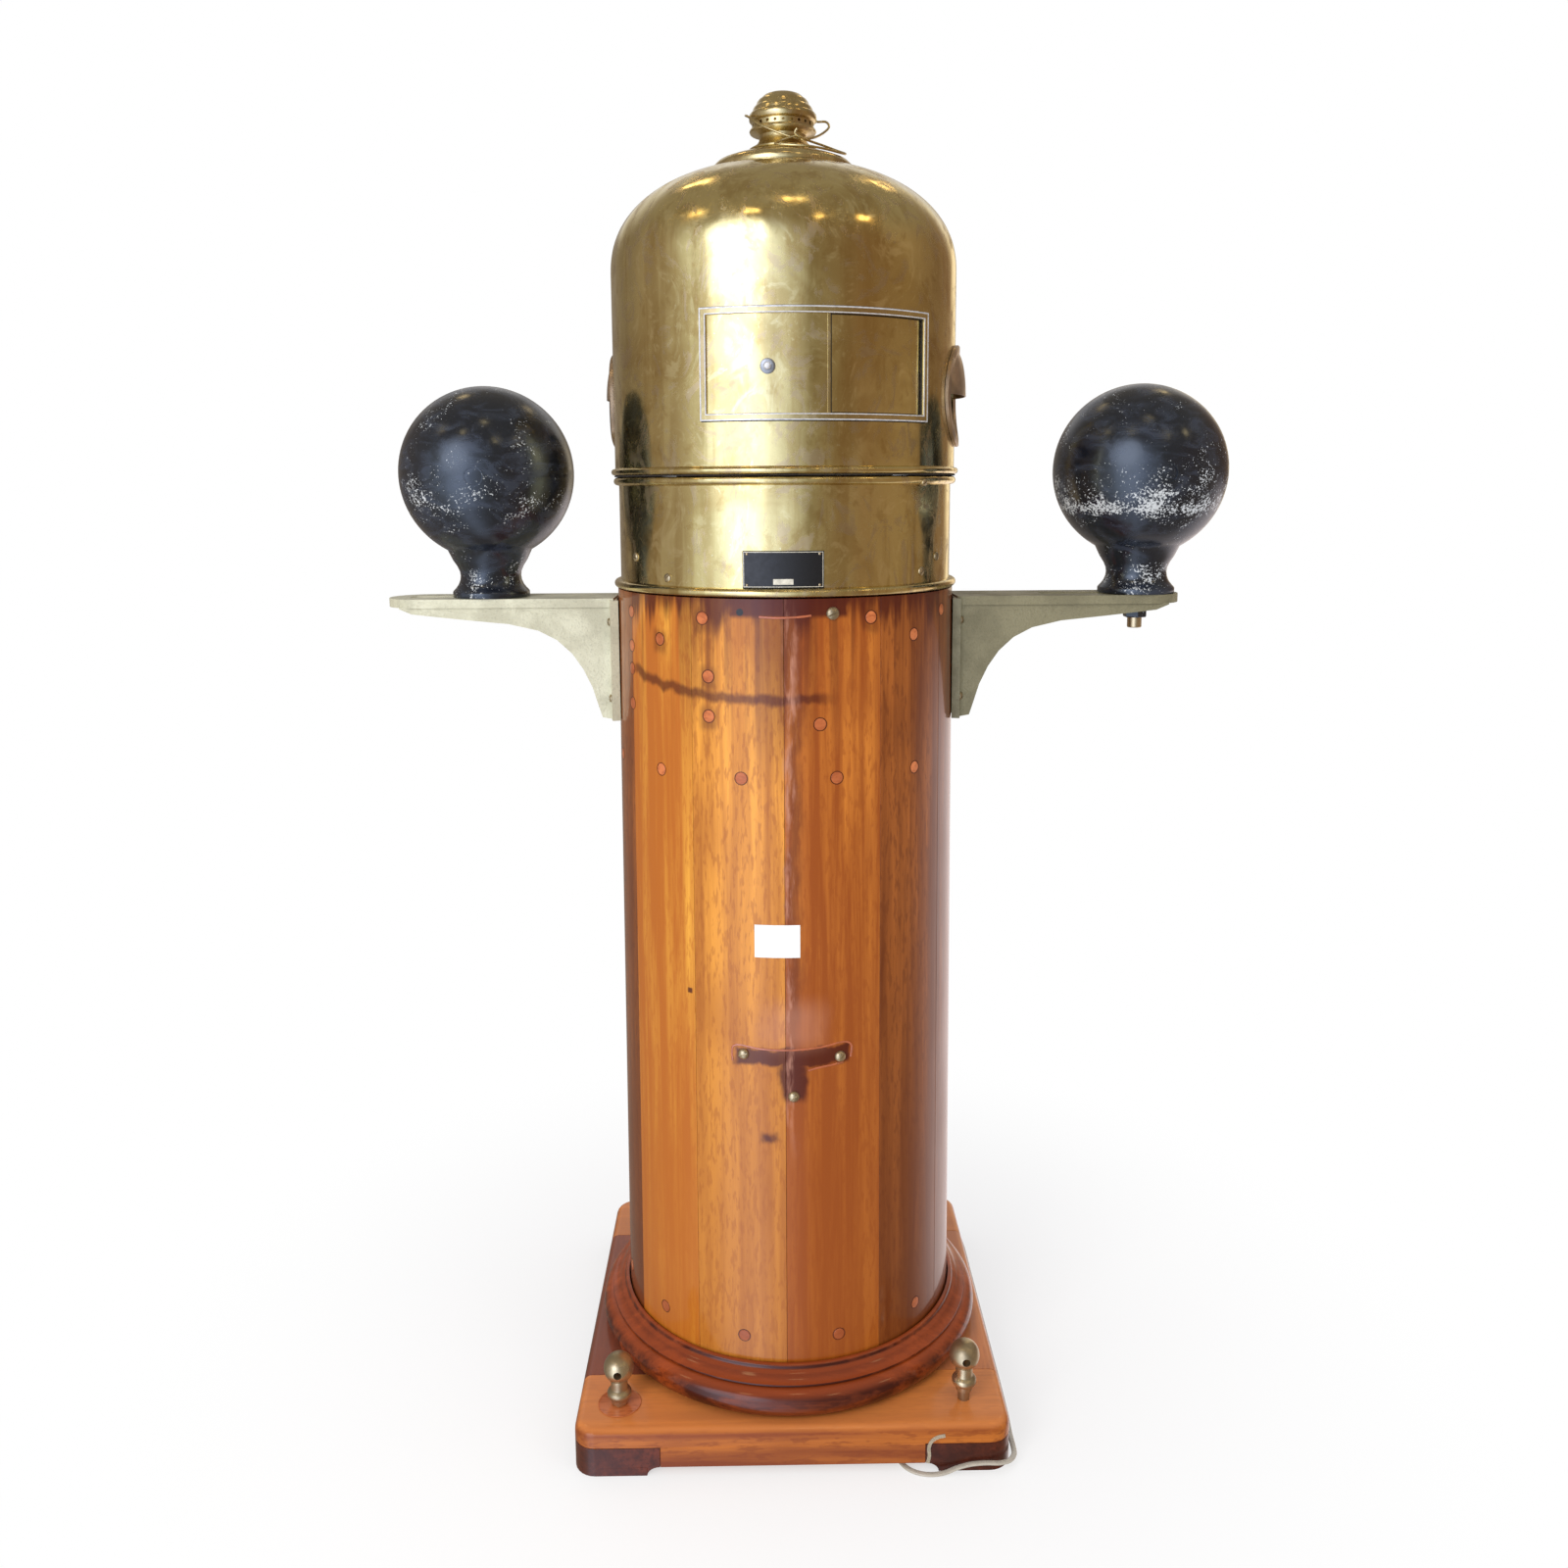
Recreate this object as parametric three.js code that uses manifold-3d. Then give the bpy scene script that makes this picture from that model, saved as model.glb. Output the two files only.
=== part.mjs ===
// A ship's compensating binnacle: staved column, brass housing and hood, compass, correcting gear.
// Millimetres, +Z up. The pillar's axis is the Z axis, the floor is z = 0, and -Y is the forward face.
// Azimuths are degrees round the pillar: 0 is forward (-Y), 90 is starboard (+X), 180 is aft (+Y).
import * as THREE from 'three';
import { mergeVertices } from 'three/addons/utils/BufferGeometryUtils.js';
import Module from 'manifold-3d';

const wasm = await Module();
wasm.setup();

// ---- Driving dimensions ----
const GAP = 0.3;                     // clearance between touching pieces
const ROUND = 36;                    // sides of the large round pieces
const SMALL = 22;                    // sides of the middling ones

const BASE = {
  side: 434, cornerRadius: 22, underside: 9, top: 48, edgeRound: 9, boardWidth: 86, lapHeight: 30,
  footLength: 74, boltOffset: 174.5, boltHole: 7,
};
const COLUMN = {
  bottom: BASE.top + GAP, top: 862, footRadius: 178.7, headRadius: 174.3, wall: 22, staveSpan: 60,
};
const TORUS = { inner: 180, centre: 193.5, radius: 15 };
const DOOR = { halfSpan: 24, bottom: 300, top: 720, pinRadius: 1.5, knuckleRadius: 3.6, latchAzimuth: 19 };
const ARM = {
  top: 852, thickness: 9, halfWidth: 36, reach: 414, slotInner: 267, slotOuter: 393, slotHalfWidth: 9,
  webInner: 27, webOuter: 33, flangeBottom: 725.5, flangeHalfSpan: 13,
};
const SPHERE = { radius: 88.9, centreHeight: 979, footRadius: 39.5, leftReach: 308, rightReach: 370.5 };
const HOUSING = { outer: 171, wall: 2.5, bottom: COLUMN.top + 1.2, top: 974.6, beadRadius: 4 };
const GIMBAL = { height: 955, supportInner: 146, ringInner: 124, ringOuter: 134, pinRadius: 3.5, bore: 4.3 };
const HOOD = {
  outer: 174.5, wall: 2.2, bottom: 976.6, shoulder: 1175, domeRise: 107, domePower: 2.25, flueRadius: 16,
};
const SHUTTER = {
  azimuth: 11, halfSpan: 37.4, bottom: 1024.3, top: 1124.6, windowAzimuth: -6, windowHalfSpan: 16,
  doorFrom: -25.2, doorTo: 12.8, knobAzimuth: -5.7, knobHeight: 1072,
};
const REAR_WINDOW = { azimuth: 180, halfSpan: 28, bottom: 1010, top: 1140 };
const VENT = { azimuths: [79, 259], height: 1053.5, radius: 50, rimWidth: 7, rise: 11.5 };
const TRAY = { frameBottom: 430, frameTop: 800, postOffset: 96, screwOffset: 70, foreAft: 560, athwart: 660 };
const LEAD = { thickness: 5.4, clearance: 0.4, coilRadius: 30, coilLayers: 3, coilCentre: [120, 262] };
const PLUG = { halfLength: 14, halfWidth: 10, height: 16, pinSpacing: 12.7, pinLength: 17 };

// ---- Finishes: colour, roughness, metalness ----
const FINISHES = {
  lightWood: [0xb5622a, 0.35, 0], darkWood: [0x5a2314, 0.4, 0], brass: [0xa8893c, 0.28, 1],
  castBrass: [0x9a956a, 0.55, 1], oldBrass: [0x7a6a3c, 0.4, 1], blackIron: [0x1b1c20, 0.45, 0.2],
  steel: [0x8a8c8e, 0.4, 1], felt: [0x2b2622, 0.95, 0], glass: [0xdfe8e6, 0.05, 0],
  enamel: [0x111111, 0.4, 0], card: [0xe9e4d2, 0.7, 0], lead: [0xc9c6bb, 0.35, 0], plastic: [0x2a2622, 0.5, 0],
};

// ---- Geometry helpers ----
const radians = (degrees) => (degrees * Math.PI) / 180;

/** Turn a three.js geometry into a closed solid that faces outwards. */
function solid(geometry) {
  const bare = geometry.clone();
  bare.deleteAttribute('normal');
  bare.deleteAttribute('uv');
  const merged = mergeVertices(bare, 1e-3);
  const place = merged.getAttribute('position');
  const corners = [];
  let volume = 0;
  const point = [new THREE.Vector3(), new THREE.Vector3(), new THREE.Vector3()];
  for (let i = 0; i < merged.index.count; i += 3) {
    const face = [0, 1, 2].map((k) => merged.index.getX(i + k));
    if (new Set(face).size < 3) continue;
    face.forEach((vertex, k) => point[k].fromBufferAttribute(place, vertex));
    volume += point[0].dot(point[1].clone().cross(point[2]));
    corners.push(face);
  }
  if (volume < 0) corners.forEach((face) => face.reverse());
  return new wasm.Manifold(new wasm.Mesh({
    numProp: 3, vertProperties: new Float32Array(place.array), triVerts: new Uint32Array(corners.flat()),
  }));
}

/** Turn a solid back into a three.js geometry. */
function geometryOf(body) {
  const mesh = body.getMesh();
  const geometry = new THREE.BufferGeometry();
  geometry.setAttribute('position', new THREE.BufferAttribute(new Float32Array(mesh.vertProperties), 3));
  geometry.setIndex(Array.from(mesh.triVerts));
  geometry.computeVertexNormals();
  return geometry;
}

const join = (...bodies) => bodies.reduce((whole, body) => whole.add(body));
const cut = (body, ...tools) => tools.reduce((whole, tool) => whole.subtract(tool), body);

/** A box between two corners. */
function box(low, high) {
  const size = low.map((value, axis) => high[axis] - value);
  const middle = low.map((value, axis) => (high[axis] + value) / 2);
  return solid(new THREE.BoxGeometry(...size).translate(...middle));
}

/** A turned body: profile points are [radius, height]; a ring's profile closes on itself. */
function turned(profile, sides = ROUND) {
  const points = profile.map(([radius, height]) => new THREE.Vector2(radius, height));
  const onAxis = profile[0][0] === 0 && profile[profile.length - 1][0] === 0;
  if (!onAxis) points.push(points[0].clone());
  return solid(new THREE.LatheGeometry(points, sides).rotateX(Math.PI / 2));
}

/** A ring of rectangular section. */
const ring = (inner, outer, bottom, top, sides = ROUND) => turned(
  [[inner, bottom], [outer, bottom], [outer, top], [inner, top]], sides,
);

/** Points of an arc in a profile, angles in degrees. */
function arc(centreRadius, centreHeight, radius, from, to, steps) {
  return Array.from({ length: steps + 1 }, (_, i) => {
    const angle = radians(from + ((to - from) * i) / steps);
    return [centreRadius + radius * Math.cos(angle), centreHeight + radius * Math.sin(angle)];
  });
}

/** A straight cylinder between two points. */
function rod(from, to, radius, sides = 16) {
  const start = new THREE.Vector3(...from);
  const along = new THREE.Vector3(...to).sub(start);
  const geometry = new THREE.CylinderGeometry(radius, radius, along.length(), sides);
  geometry.translate(0, along.length() / 2, 0);
  const turn = new THREE.Quaternion().setFromUnitVectors(new THREE.Vector3(0, 1, 0), along.normalize());
  return solid(geometry.applyQuaternion(turn).translate(...from));
}

/** A flat outline of [x, y] points, raised from one height to another. */
function raised(outline, bottom, top) {
  const shape = new THREE.Shape(outline.map(([x, y]) => new THREE.Vector2(x, y)));
  const geometry = new THREE.ExtrudeGeometry(shape, { depth: top - bottom, bevelEnabled: false });
  return solid(geometry.translate(0, 0, bottom));
}

/** The point at an azimuth and a radius. */
const around = (azimuth, radius) => [
  radius * Math.sin(radians(azimuth)), -radius * Math.cos(radians(azimuth)),
];

/** Part of a ring between two azimuths. */
function sector(inner, outer, from, to, bottom, top, step = 6) {
  const steps = Math.max(2, Math.ceil((to - from) / step));
  const azimuths = Array.from({ length: steps + 1 }, (_, i) => from + ((to - from) * i) / steps);
  const outline = [
    ...azimuths.map((azimuth) => around(azimuth, outer)),
    ...azimuths.reverse().map((azimuth) => around(azimuth, inner)),
  ];
  return raised(outline, bottom, top);
}

/** The outline of a square with rounded corners. */
function roundedSquare(side, radius, steps = 4) {
  const reach = side / 2 - radius;
  return [[1, 1, 0], [-1, 1, 90], [-1, -1, 180], [1, -1, 270]].flatMap(([sx, sy, from]) => (
    arc(sx * reach, sy * reach, radius, from, from + 90, steps)
  ));
}

// ---- The scene graph ----
const binnacle = new THREE.Group();

/** A named part of the assembly that holds meshes. */
function assembly(parent = binnacle) {
  const group = new THREE.Group();
  parent.add(group);
  return group;
}

/** Put one solid in a group as a named mesh with its own material. */
function place(group, name, body, finish) {
  const [color, roughness, metalness] = FINISHES[finish];
  const material = new THREE.MeshStandardMaterial({ color, roughness, metalness });
  const mesh = new THREE.Mesh(geometryOf(body), material);
  mesh.name = name;
  group.add(mesh);
  return mesh;
}

// ---- Base: half-lapped frame, feet, closing sheet, mouldings, hold-down bolts ----

/** The whole base as one block with rounded corners and a rounded top edge, down to the floor. */
function baseBlank() {
  const layers = 2;
  const levels = Array.from({ length: layers + 1 }, (_, i) => {
    const angle = radians((90 * i) / layers);
    const inset = BASE.edgeRound * (1 - Math.cos(angle));
    return [inset, BASE.top - BASE.edgeRound + BASE.edgeRound * Math.sin(angle)];
  });
  let blank = raised(roundedSquare(BASE.side, BASE.cornerRadius), 0, levels[0][1]);
  for (let i = 0; i < layers; i += 1) {
    const [inset, bottom] = levels[i];
    const outline = roundedSquare(BASE.side - 2 * inset, BASE.cornerRadius - inset);
    blank = join(blank, raised(outline, bottom - 0.5, levels[i + 1][1]));
  }
  return blank;
}

function buildBase() {
  const group = assembly();
  const half = BASE.side / 2;
  const inner = half - BASE.boardWidth;
  const lap = BASE.lapHeight;
  const bolts = [-1, 1].flatMap((sx) => [-1, 1].map((sy) => [sx * BASE.boltOffset, sy * BASE.boltOffset]));
  const bores = bolts.map(([x, y]) => rod([x, y, -1], [x, y, BASE.top + 1], BASE.boltHole, 8));
  const blank = cut(baseBlank(), ...bores);

  // The front and back boards run full width in their upper half.
  const crossBoard = (from, to) => blank.intersect(join(
    box([-half, from, lap], [half, to, BASE.top]),
    box([-inner + GAP, from, BASE.underside], [inner - GAP, to, lap + 1]),
  ));
  place(group, 'base_board_front', crossBoard(-half, -inner), 'lightWood');
  place(group, 'base_board_back', crossBoard(inner, half), 'lightWood');

  // The side boards run full depth in their lower half and carry the feet at the corners.
  const sideBoard = (from, to) => blank.intersect(join(
    box([from, -inner + GAP, lap - 1], [to, inner - GAP, BASE.top]),
    box([from, -half, BASE.underside], [to, half, lap - GAP]),
    box([from, -half, 0], [to, -half + BASE.footLength, BASE.underside + 1]),
    box([from, half - BASE.footLength, 0], [to, half, BASE.underside + 1]),
  ));
  place(group, 'base_board_left', sideBoard(-half, -inner), 'darkWood');
  place(group, 'base_board_right', sideBoard(inner, half), 'darkWood');

  const sheetTop = BASE.underside - GAP;
  const sheetHalfWidth = inner - 2;
  const sheet = box([-sheetHalfWidth, -half + 57, sheetTop - 2.4], [sheetHalfWidth, half - 57, sheetTop]);
  place(group, 'base_bottom_sheet', sheet, 'darkWood');

  const torusMiddle = BASE.top + GAP + TORUS.radius;
  place(group, 'base_torus_ring', turned([
    [TORUS.inner, BASE.top + GAP], ...arc(TORUS.centre, torusMiddle, TORUS.radius, -90, 90, 4),
    [TORUS.inner, torusMiddle + TORUS.radius],
  ]), 'darkWood');
  const ogeeBottom = torusMiddle + TORUS.radius + GAP;
  place(group, 'base_ogee_ring', turned([
    [TORUS.inner, ogeeBottom], [196.5, ogeeBottom], [198, ogeeBottom + 3], [191.5, ogeeBottom + 6.6],
    [187, ogeeBottom + 10.5], [183.5, ogeeBottom + 15.2], [TORUS.inner, ogeeBottom + 15.2],
  ]), 'darkWood');

  const boltNames = ['back_left', 'back_right', 'front_left', 'front_right'];
  const boltPlaces = [[-1, 1], [1, 1], [-1, -1], [1, -1]];
  boltNames.forEach((name, i) => {
    const mesh = place(group, `hold_down_bolt_${name}`, holdDownBolt(), 'oldBrass');
    const lift = name === 'front_right' ? 8.5 : 0;
    const [sx, sy] = boltPlaces[i];
    mesh.position.set(sx * BASE.boltOffset, sy * BASE.boltOffset, lift);
  });
}

/** A bolt with a collar, a ball head and a cross hole; it stands in the base at z = 0. */
function holdDownBolt() {
  const ballRadius = 15.2;
  const ballHeight = 88;
  const neckAngle = -52;
  const body = turned([
    [0, 3], [6, 3], [6, 49], [8.2, 50], [8.2, 55], [12.2, 58], [12.2, 62.5], [8.8, 67],
    ...arc(0, ballHeight, ballRadius, neckAngle, 90, 4).slice(0, -1), [0, ballHeight + ballRadius],
  ], 10);
  return cut(body, rod([0, -20, ballHeight], [0, 20, ballHeight], 4, 8));
}

// ---- Column: coopered staves, inner rings, access door ----

/** Draw a body in towards the axis as it rises, as the column tapers. */
function tapered(body) {
  const slope = (COLUMN.headRadius / COLUMN.footRadius - 1) / (COLUMN.top - COLUMN.bottom);
  return body.warp((vertex) => {
    const scale = 1 + slope * (vertex[2] - COLUMN.bottom);
    vertex[0] *= scale;
    vertex[1] *= scale;
  });
}

const columnSector = (from, to, bottom, top) => (
  sector(COLUMN.footRadius - COLUMN.wall, COLUMN.footRadius, from, to, bottom, top)
);

function buildColumn() {
  const group = assembly();
  const names = ['front', 'front_right', 'back_right', 'back', 'back_left', 'front_left'];
  const joint = 0.05;
  names.forEach((name, i) => {
    const middle = i * COLUMN.staveSpan;
    const from = middle - COLUMN.staveSpan / 2 + joint;
    const to = middle + COLUMN.staveSpan / 2 - joint;
    let stave = columnSector(from, to, COLUMN.bottom, COLUMN.top);
    if (name === 'back') {
      const tool = sector(100, 220, 180 - DOOR.halfSpan, 180 + DOOR.halfSpan, DOOR.bottom, DOOR.top);
      stave = cut(stave, tool);
    }
    place(group, `column_stave_${name}`, tapered(stave), 'lightWood');
  });
  place(group, 'column_top_ring', ring(124, 151.8, COLUMN.top - 30, COLUMN.top), 'darkWood');
  place(group, 'column_bottom_ring', ring(118, 156.2, COLUMN.bottom, COLUMN.bottom + 32), 'darkWood');

  const leafGap = 0.35;
  const door = columnSector(
    180 - DOOR.halfSpan + leafGap, 180 + DOOR.halfSpan - leafGap, DOOR.bottom + 1, DOOR.top - 1,
  );
  place(group, 'access_door', tapered(door), 'lightWood');
  buildDoorHinge(group);
  place(group, 'door_latch', doorLatch(), 'oldBrass');
}

/** The hinge runs the door's height; its pin belongs to the door's leaf. */
function buildDoorHinge(group) {
  const [x, y] = around(180 + DOOR.halfSpan, 182.6);
  const knuckles = 5;
  const bottom = DOOR.bottom + 20;
  const length = (DOOR.top - DOOR.bottom - 40) / knuckles;
  const surface = 177.6;
  const leaf = (from, to, z0, z1) => {
    const [ax, ay] = around(180 + from, surface + 0.9);
    const [bx, by] = around(180 + to, surface + 0.9);
    const along = new THREE.Vector2(bx - ax, by - ay);
    const across = new THREE.Vector2(-along.y, along.x).normalize().multiplyScalar(0.8);
    return raised([
      [ax + across.x, ay + across.y], [ax - across.x, ay - across.y],
      [bx - across.x, by - across.y], [bx + across.x, by + across.y],
    ], z0, z1);
  };
  const knuckle = (i) => rod(
    [x, y, bottom + i * length + 0.5], [x, y, bottom + (i + 1) * length - 0.5], DOOR.knuckleRadius, 8,
  );
  const pin = rod([x, y, bottom], [x, y, bottom + knuckles * length], DOOR.pinRadius, 6);
  const bore = rod([x, y, bottom - 1], [x, y, bottom + knuckles * length + 1], DOOR.pinRadius + 0.6, 6);
  const room = (i) => rod(
    [x, y, bottom + i * length - 0.5], [x, y, bottom + (i + 1) * length + 0.5], DOOR.knuckleRadius + 0.9, 8,
  );
  const top = bottom + knuckles * length;
  const columnLeaf = join(
    cut(leaf(DOOR.halfSpan + 0.2, DOOR.halfSpan + 5.6, bottom, top), room(1), room(3)),
    knuckle(0), knuckle(2), knuckle(4),
  );
  const doorLeaf = join(
    cut(leaf(DOOR.halfSpan - 6, DOOR.halfSpan - 0.2, bottom, top), room(0), room(2), room(4)),
    knuckle(1), knuckle(3), pin,
  );
  place(group, 'door_hinge_column_leaf', cut(columnLeaf, bore), 'oldBrass');
  place(group, 'door_hinge_door_leaf', doorLeaf, 'oldBrass');
}

/** A turn-button with a round grip; its tongue lies over the column's edge when shut. */
function doorLatch() {
  const height = (DOOR.bottom + DOOR.top) / 2;
  const button = join(
    rod([0, -177.2, height], [0, -184, height], 9, 14),
    box([-30, -184, height - 6], [8, -181, height + 6]),
    rod([0, -183, height], [0, -196, height], 6, 12),
  );
  return button.rotate([0, 0, 180 - DOOR.latchAzimuth]);
}

// ---- Side arms, spheres and their clamps ----

/** The right-hand arm: slotted top plate, two tapering webs and a flange on the column. */
function sphereBracket() {
  const underside = ARM.top - ARM.thickness;
  const plate = join(
    box([177, -ARM.halfWidth, underside], [ARM.reach - ARM.halfWidth, ARM.halfWidth, ARM.top]),
    rod([ARM.reach - ARM.halfWidth, 0, underside], [ARM.reach - ARM.halfWidth, 0, ARM.top], ARM.halfWidth, 24),
  );
  const slot = join(
    box([ARM.slotInner + ARM.slotHalfWidth, -ARM.slotHalfWidth, underside - 1],
      [ARM.slotOuter - ARM.slotHalfWidth, ARM.slotHalfWidth, ARM.top + 1]),
    ...[ARM.slotInner + ARM.slotHalfWidth, ARM.slotOuter - ARM.slotHalfWidth].map((x) => (
      rod([x, 0, underside - 1], [x, 0, ARM.top + 1], ARM.slotHalfWidth, 12)
    )),
  );
  const lowerEdge = [
    [177, ARM.flangeBottom], [191, 728], [195.5, 742], [201, 760], [210, 779], [221, 795], [236, 809],
    [255, 819], [285, 826], [330, 830.5], [384, 836.5], [397, 842],
  ];
  const webs = [[ARM.webInner, ARM.webOuter], [-ARM.webOuter, -ARM.webInner]].map(([from, to]) => {
    const outline = [...lowerEdge, [397, underside + 1], [177, underside + 1]];
    const upright = raised(outline, -to, -from);
    return upright.rotate([90, 0, 0]);
  });
  const flange = sector(
    176.1, 184.5, 90 - ARM.flangeHalfSpan, 90 + ARM.flangeHalfSpan, ARM.flangeBottom, ARM.top - 2,
  );
  const trimmed = cut(join(plate, ...webs), turned([[0, 700], [176.1, 700], [176.1, 900], [0, 900]]));
  return cut(join(trimmed, flange), slot);
}

/** A pear-shaped iron corrector standing on the arm; its axis is x = 0. */
function quadrantalSphere() {
  const foot = ARM.top + GAP;
  const neckAngle = -61;
  return turned([
    [0, foot], [SPHERE.footRadius, foot], [SPHERE.footRadius, foot + 6], [32.4, foot + 15], [31, foot + 22],
    [32, foot + 30], ...arc(0, SPHERE.centreHeight, SPHERE.radius, neckAngle, 90, 8).slice(0, -1),
    [0, SPHERE.centreHeight + SPHERE.radius],
  ], SMALL);
}

/** The stud, washer and nut that clamp a sphere to its arm. */
function sphereClamp() {
  const underside = ARM.top - ARM.thickness - GAP;
  return join(
    rod([0, 0, 815], [0, 0, ARM.top - 1], 7.5, 10),
    rod([0, 0, underside - 2.2], [0, 0, underside], 17, 14),
    rod([0, 0, 826], [0, 0, underside - 2], 12.5, 6),
  );
}

function buildSphereGear() {
  const right = sphereBracket();
  const reaches = { left: -SPHERE.leftReach, right: SPHERE.rightReach };
  Object.entries(reaches).forEach(([side, reach]) => {
    const group = assembly();
    place(group, `sphere_bracket_${side}`, side === 'right' ? right : right.rotate([0, 0, 180]), 'castBrass');
    const pair = assembly(group);
    pair.position.x = reach;
    place(pair, `quadrantal_sphere_${side}`, quadrantalSphere(), 'blackIron');
    place(pair, `sphere_clamp_${side}`, sphereClamp(), 'oldBrass');
  });
}

// ---- Compass housing, gimbals, bowl and card ----

function buildHousing() {
  const group = assembly();
  const inner = HOUSING.outer - HOUSING.wall;
  const bead = HOUSING.beadRadius;
  place(group, 'bowl_housing', turned([
    [inner, HOUSING.bottom], ...arc(173.8, HOUSING.bottom + bead, bead, -90, 90, 2),
    [HOUSING.outer, HOUSING.bottom + 2 * bead], [HOUSING.outer, HOUSING.top - 2 * bead],
    ...arc(172.4, HOUSING.top - bead, bead, -90, 90, 2), [inner, HOUSING.top],
  ]), 'brass');
  const leadHole = rod([138, -70, 860], [138, -70, 870], 5, 8);
  const floor = ring(22, inner - 0.4, HOUSING.bottom, HOUSING.bottom + 3);
  place(group, 'housing_floor', cut(floor, leadHole), 'brass');
  place(group, 'nameplate', sector(171.3, 172.4, -14.2, 11.2, 871.9, 906.2), 'enamel');

  const pinTop = GIMBAL.height;
  const bores = (from, to) => [-1, 1].map((side) => (
    rod([0, side * from, pinTop], [0, side * to, pinTop], GIMBAL.bore, 10)
  ));
  const support = ring(GIMBAL.supportInner, inner - 0.4, pinTop - 8, pinTop + 8);
  place(group, 'gimbal_support_ring', cut(support, ...bores(140, 175)), 'oldBrass');

  const lamp = join(
    rod([0, -154, pinTop + 8.3], [0, -154, pinTop + 11], 13, 14),
    rod([0, -154, pinTop + 10], [0, -154, pinTop + 36], 10, 14),
  );
  place(group, 'lamp_socket', lamp, 'plastic');
}

function buildCompass() {
  const group = assembly();
  group.position.z = GIMBAL.height;
  const pin = GIMBAL.pinRadius;
  const reach = GIMBAL.supportInner + 12;
  const gimbal = join(
    ring(GIMBAL.ringInner, GIMBAL.ringOuter, -7, 7),
    ...[-1, 1].map((side) => rod([0, side * (GIMBAL.ringOuter - 3), 0], [0, side * reach, 0], pin, 10)),
  );
  const ringBores = [-1, 1].map((side) => rod([side * 120, 0, 0], [side * 140, 0, 0], GIMBAL.bore, 10));
  place(group, 'gimbal_ring', cut(gimbal, ...ringBores), 'oldBrass');

  // The bowl: a cylindrical wall over a heavy hemispherical bottom, a pivot post and two trunnions.
  const bowl = join(
    turned([
      [0, -86], ...arc(0, 0, 86, -90, -28, 5).slice(1), [108, -24], [108, 11], [112, 13], [112, 16],
      [101, 16], [104, 11], [104, -20], [70, -30], ...arc(0, 0, 72, -40, -90, 3).slice(0, -1),
      [4, -72], [3, -12], [0, -8],
    ], SMALL),
    ...[-1, 1].map((side) => rod([side * 106, 0, 0], [side * (GIMBAL.ringOuter - 1), 0, 0], pin, 10)),
  );
  place(group, 'compass_bowl', bowl, 'brass');
  place(group, 'bowl_glass', turned([[0, 16.3], [109, 16.3], [109, 20], [0, 20]], SMALL), 'glass');
  const bezel = turned([[99, 20.3], [112, 20.3], [112, 24], [110, 25.5], [102, 25.5]], SMALL);
  place(group, 'bowl_bezel', bezel, 'brass');
  const card = turned([[0, -5], [26, -10], [30, -4], [96, -4], [96, -3], [30, 2], [0, 5]], SMALL);
  place(group, 'compass_card', card, 'card');
}

// ---- Hood: dome, finial, shutter, vents, rear window ----

/** Height of the hood's outer surface at a radius, on its domed top. */
const domeHeight = (radius, outer = HOOD.outer, rise = HOOD.domeRise) => (
  HOOD.shoulder + rise * (1 - (radius / outer) ** HOOD.domePower) ** (1 / HOOD.domePower)
);

/** Profile points of the dome from a radius out to the shoulder, evenly turned. */
function domeProfile(outer, rise, from, steps = 5) {
  return Array.from({ length: steps + 1 }, (_, i) => {
    const share = from / outer + (1 - from / outer) * Math.sin(radians((90 * i) / steps));
    return [outer * share, domeHeight(outer * share, outer, rise)];
  });
}

/** A drum of radius RADIUS pointing out at an azimuth, for cutting round openings. */
const radialRod = (azimuth, height, from, to, radius, sides = 16) => {
  const [ax, ay] = around(azimuth, from);
  const [bx, by] = around(azimuth, to);
  return rod([ax, ay, height], [bx, by, height], radius, sides);
};

/** A curved frame with a rabbet behind its lip that holds a curved panel against the hood. */
function framedOpening(from, to, bottom, top, bar = 6.4) {
  const skin = HOOD.outer + GAP;
  const lip = skin + 2.4;
  const barSpan = (bar / HOOD.outer) * (180 / Math.PI);
  const grooveSpan = barSpan / 2;
  return cut(
    sector(skin, skin + 4, from, to, bottom, top),
    sector(skin - 2, skin + 6, from + barSpan, to - barSpan, bottom + bar, top - bar),
    sector(skin - 2, lip, from + grooveSpan, to - grooveSpan, bottom + bar / 2, top - bar / 2),
  );
}

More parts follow.
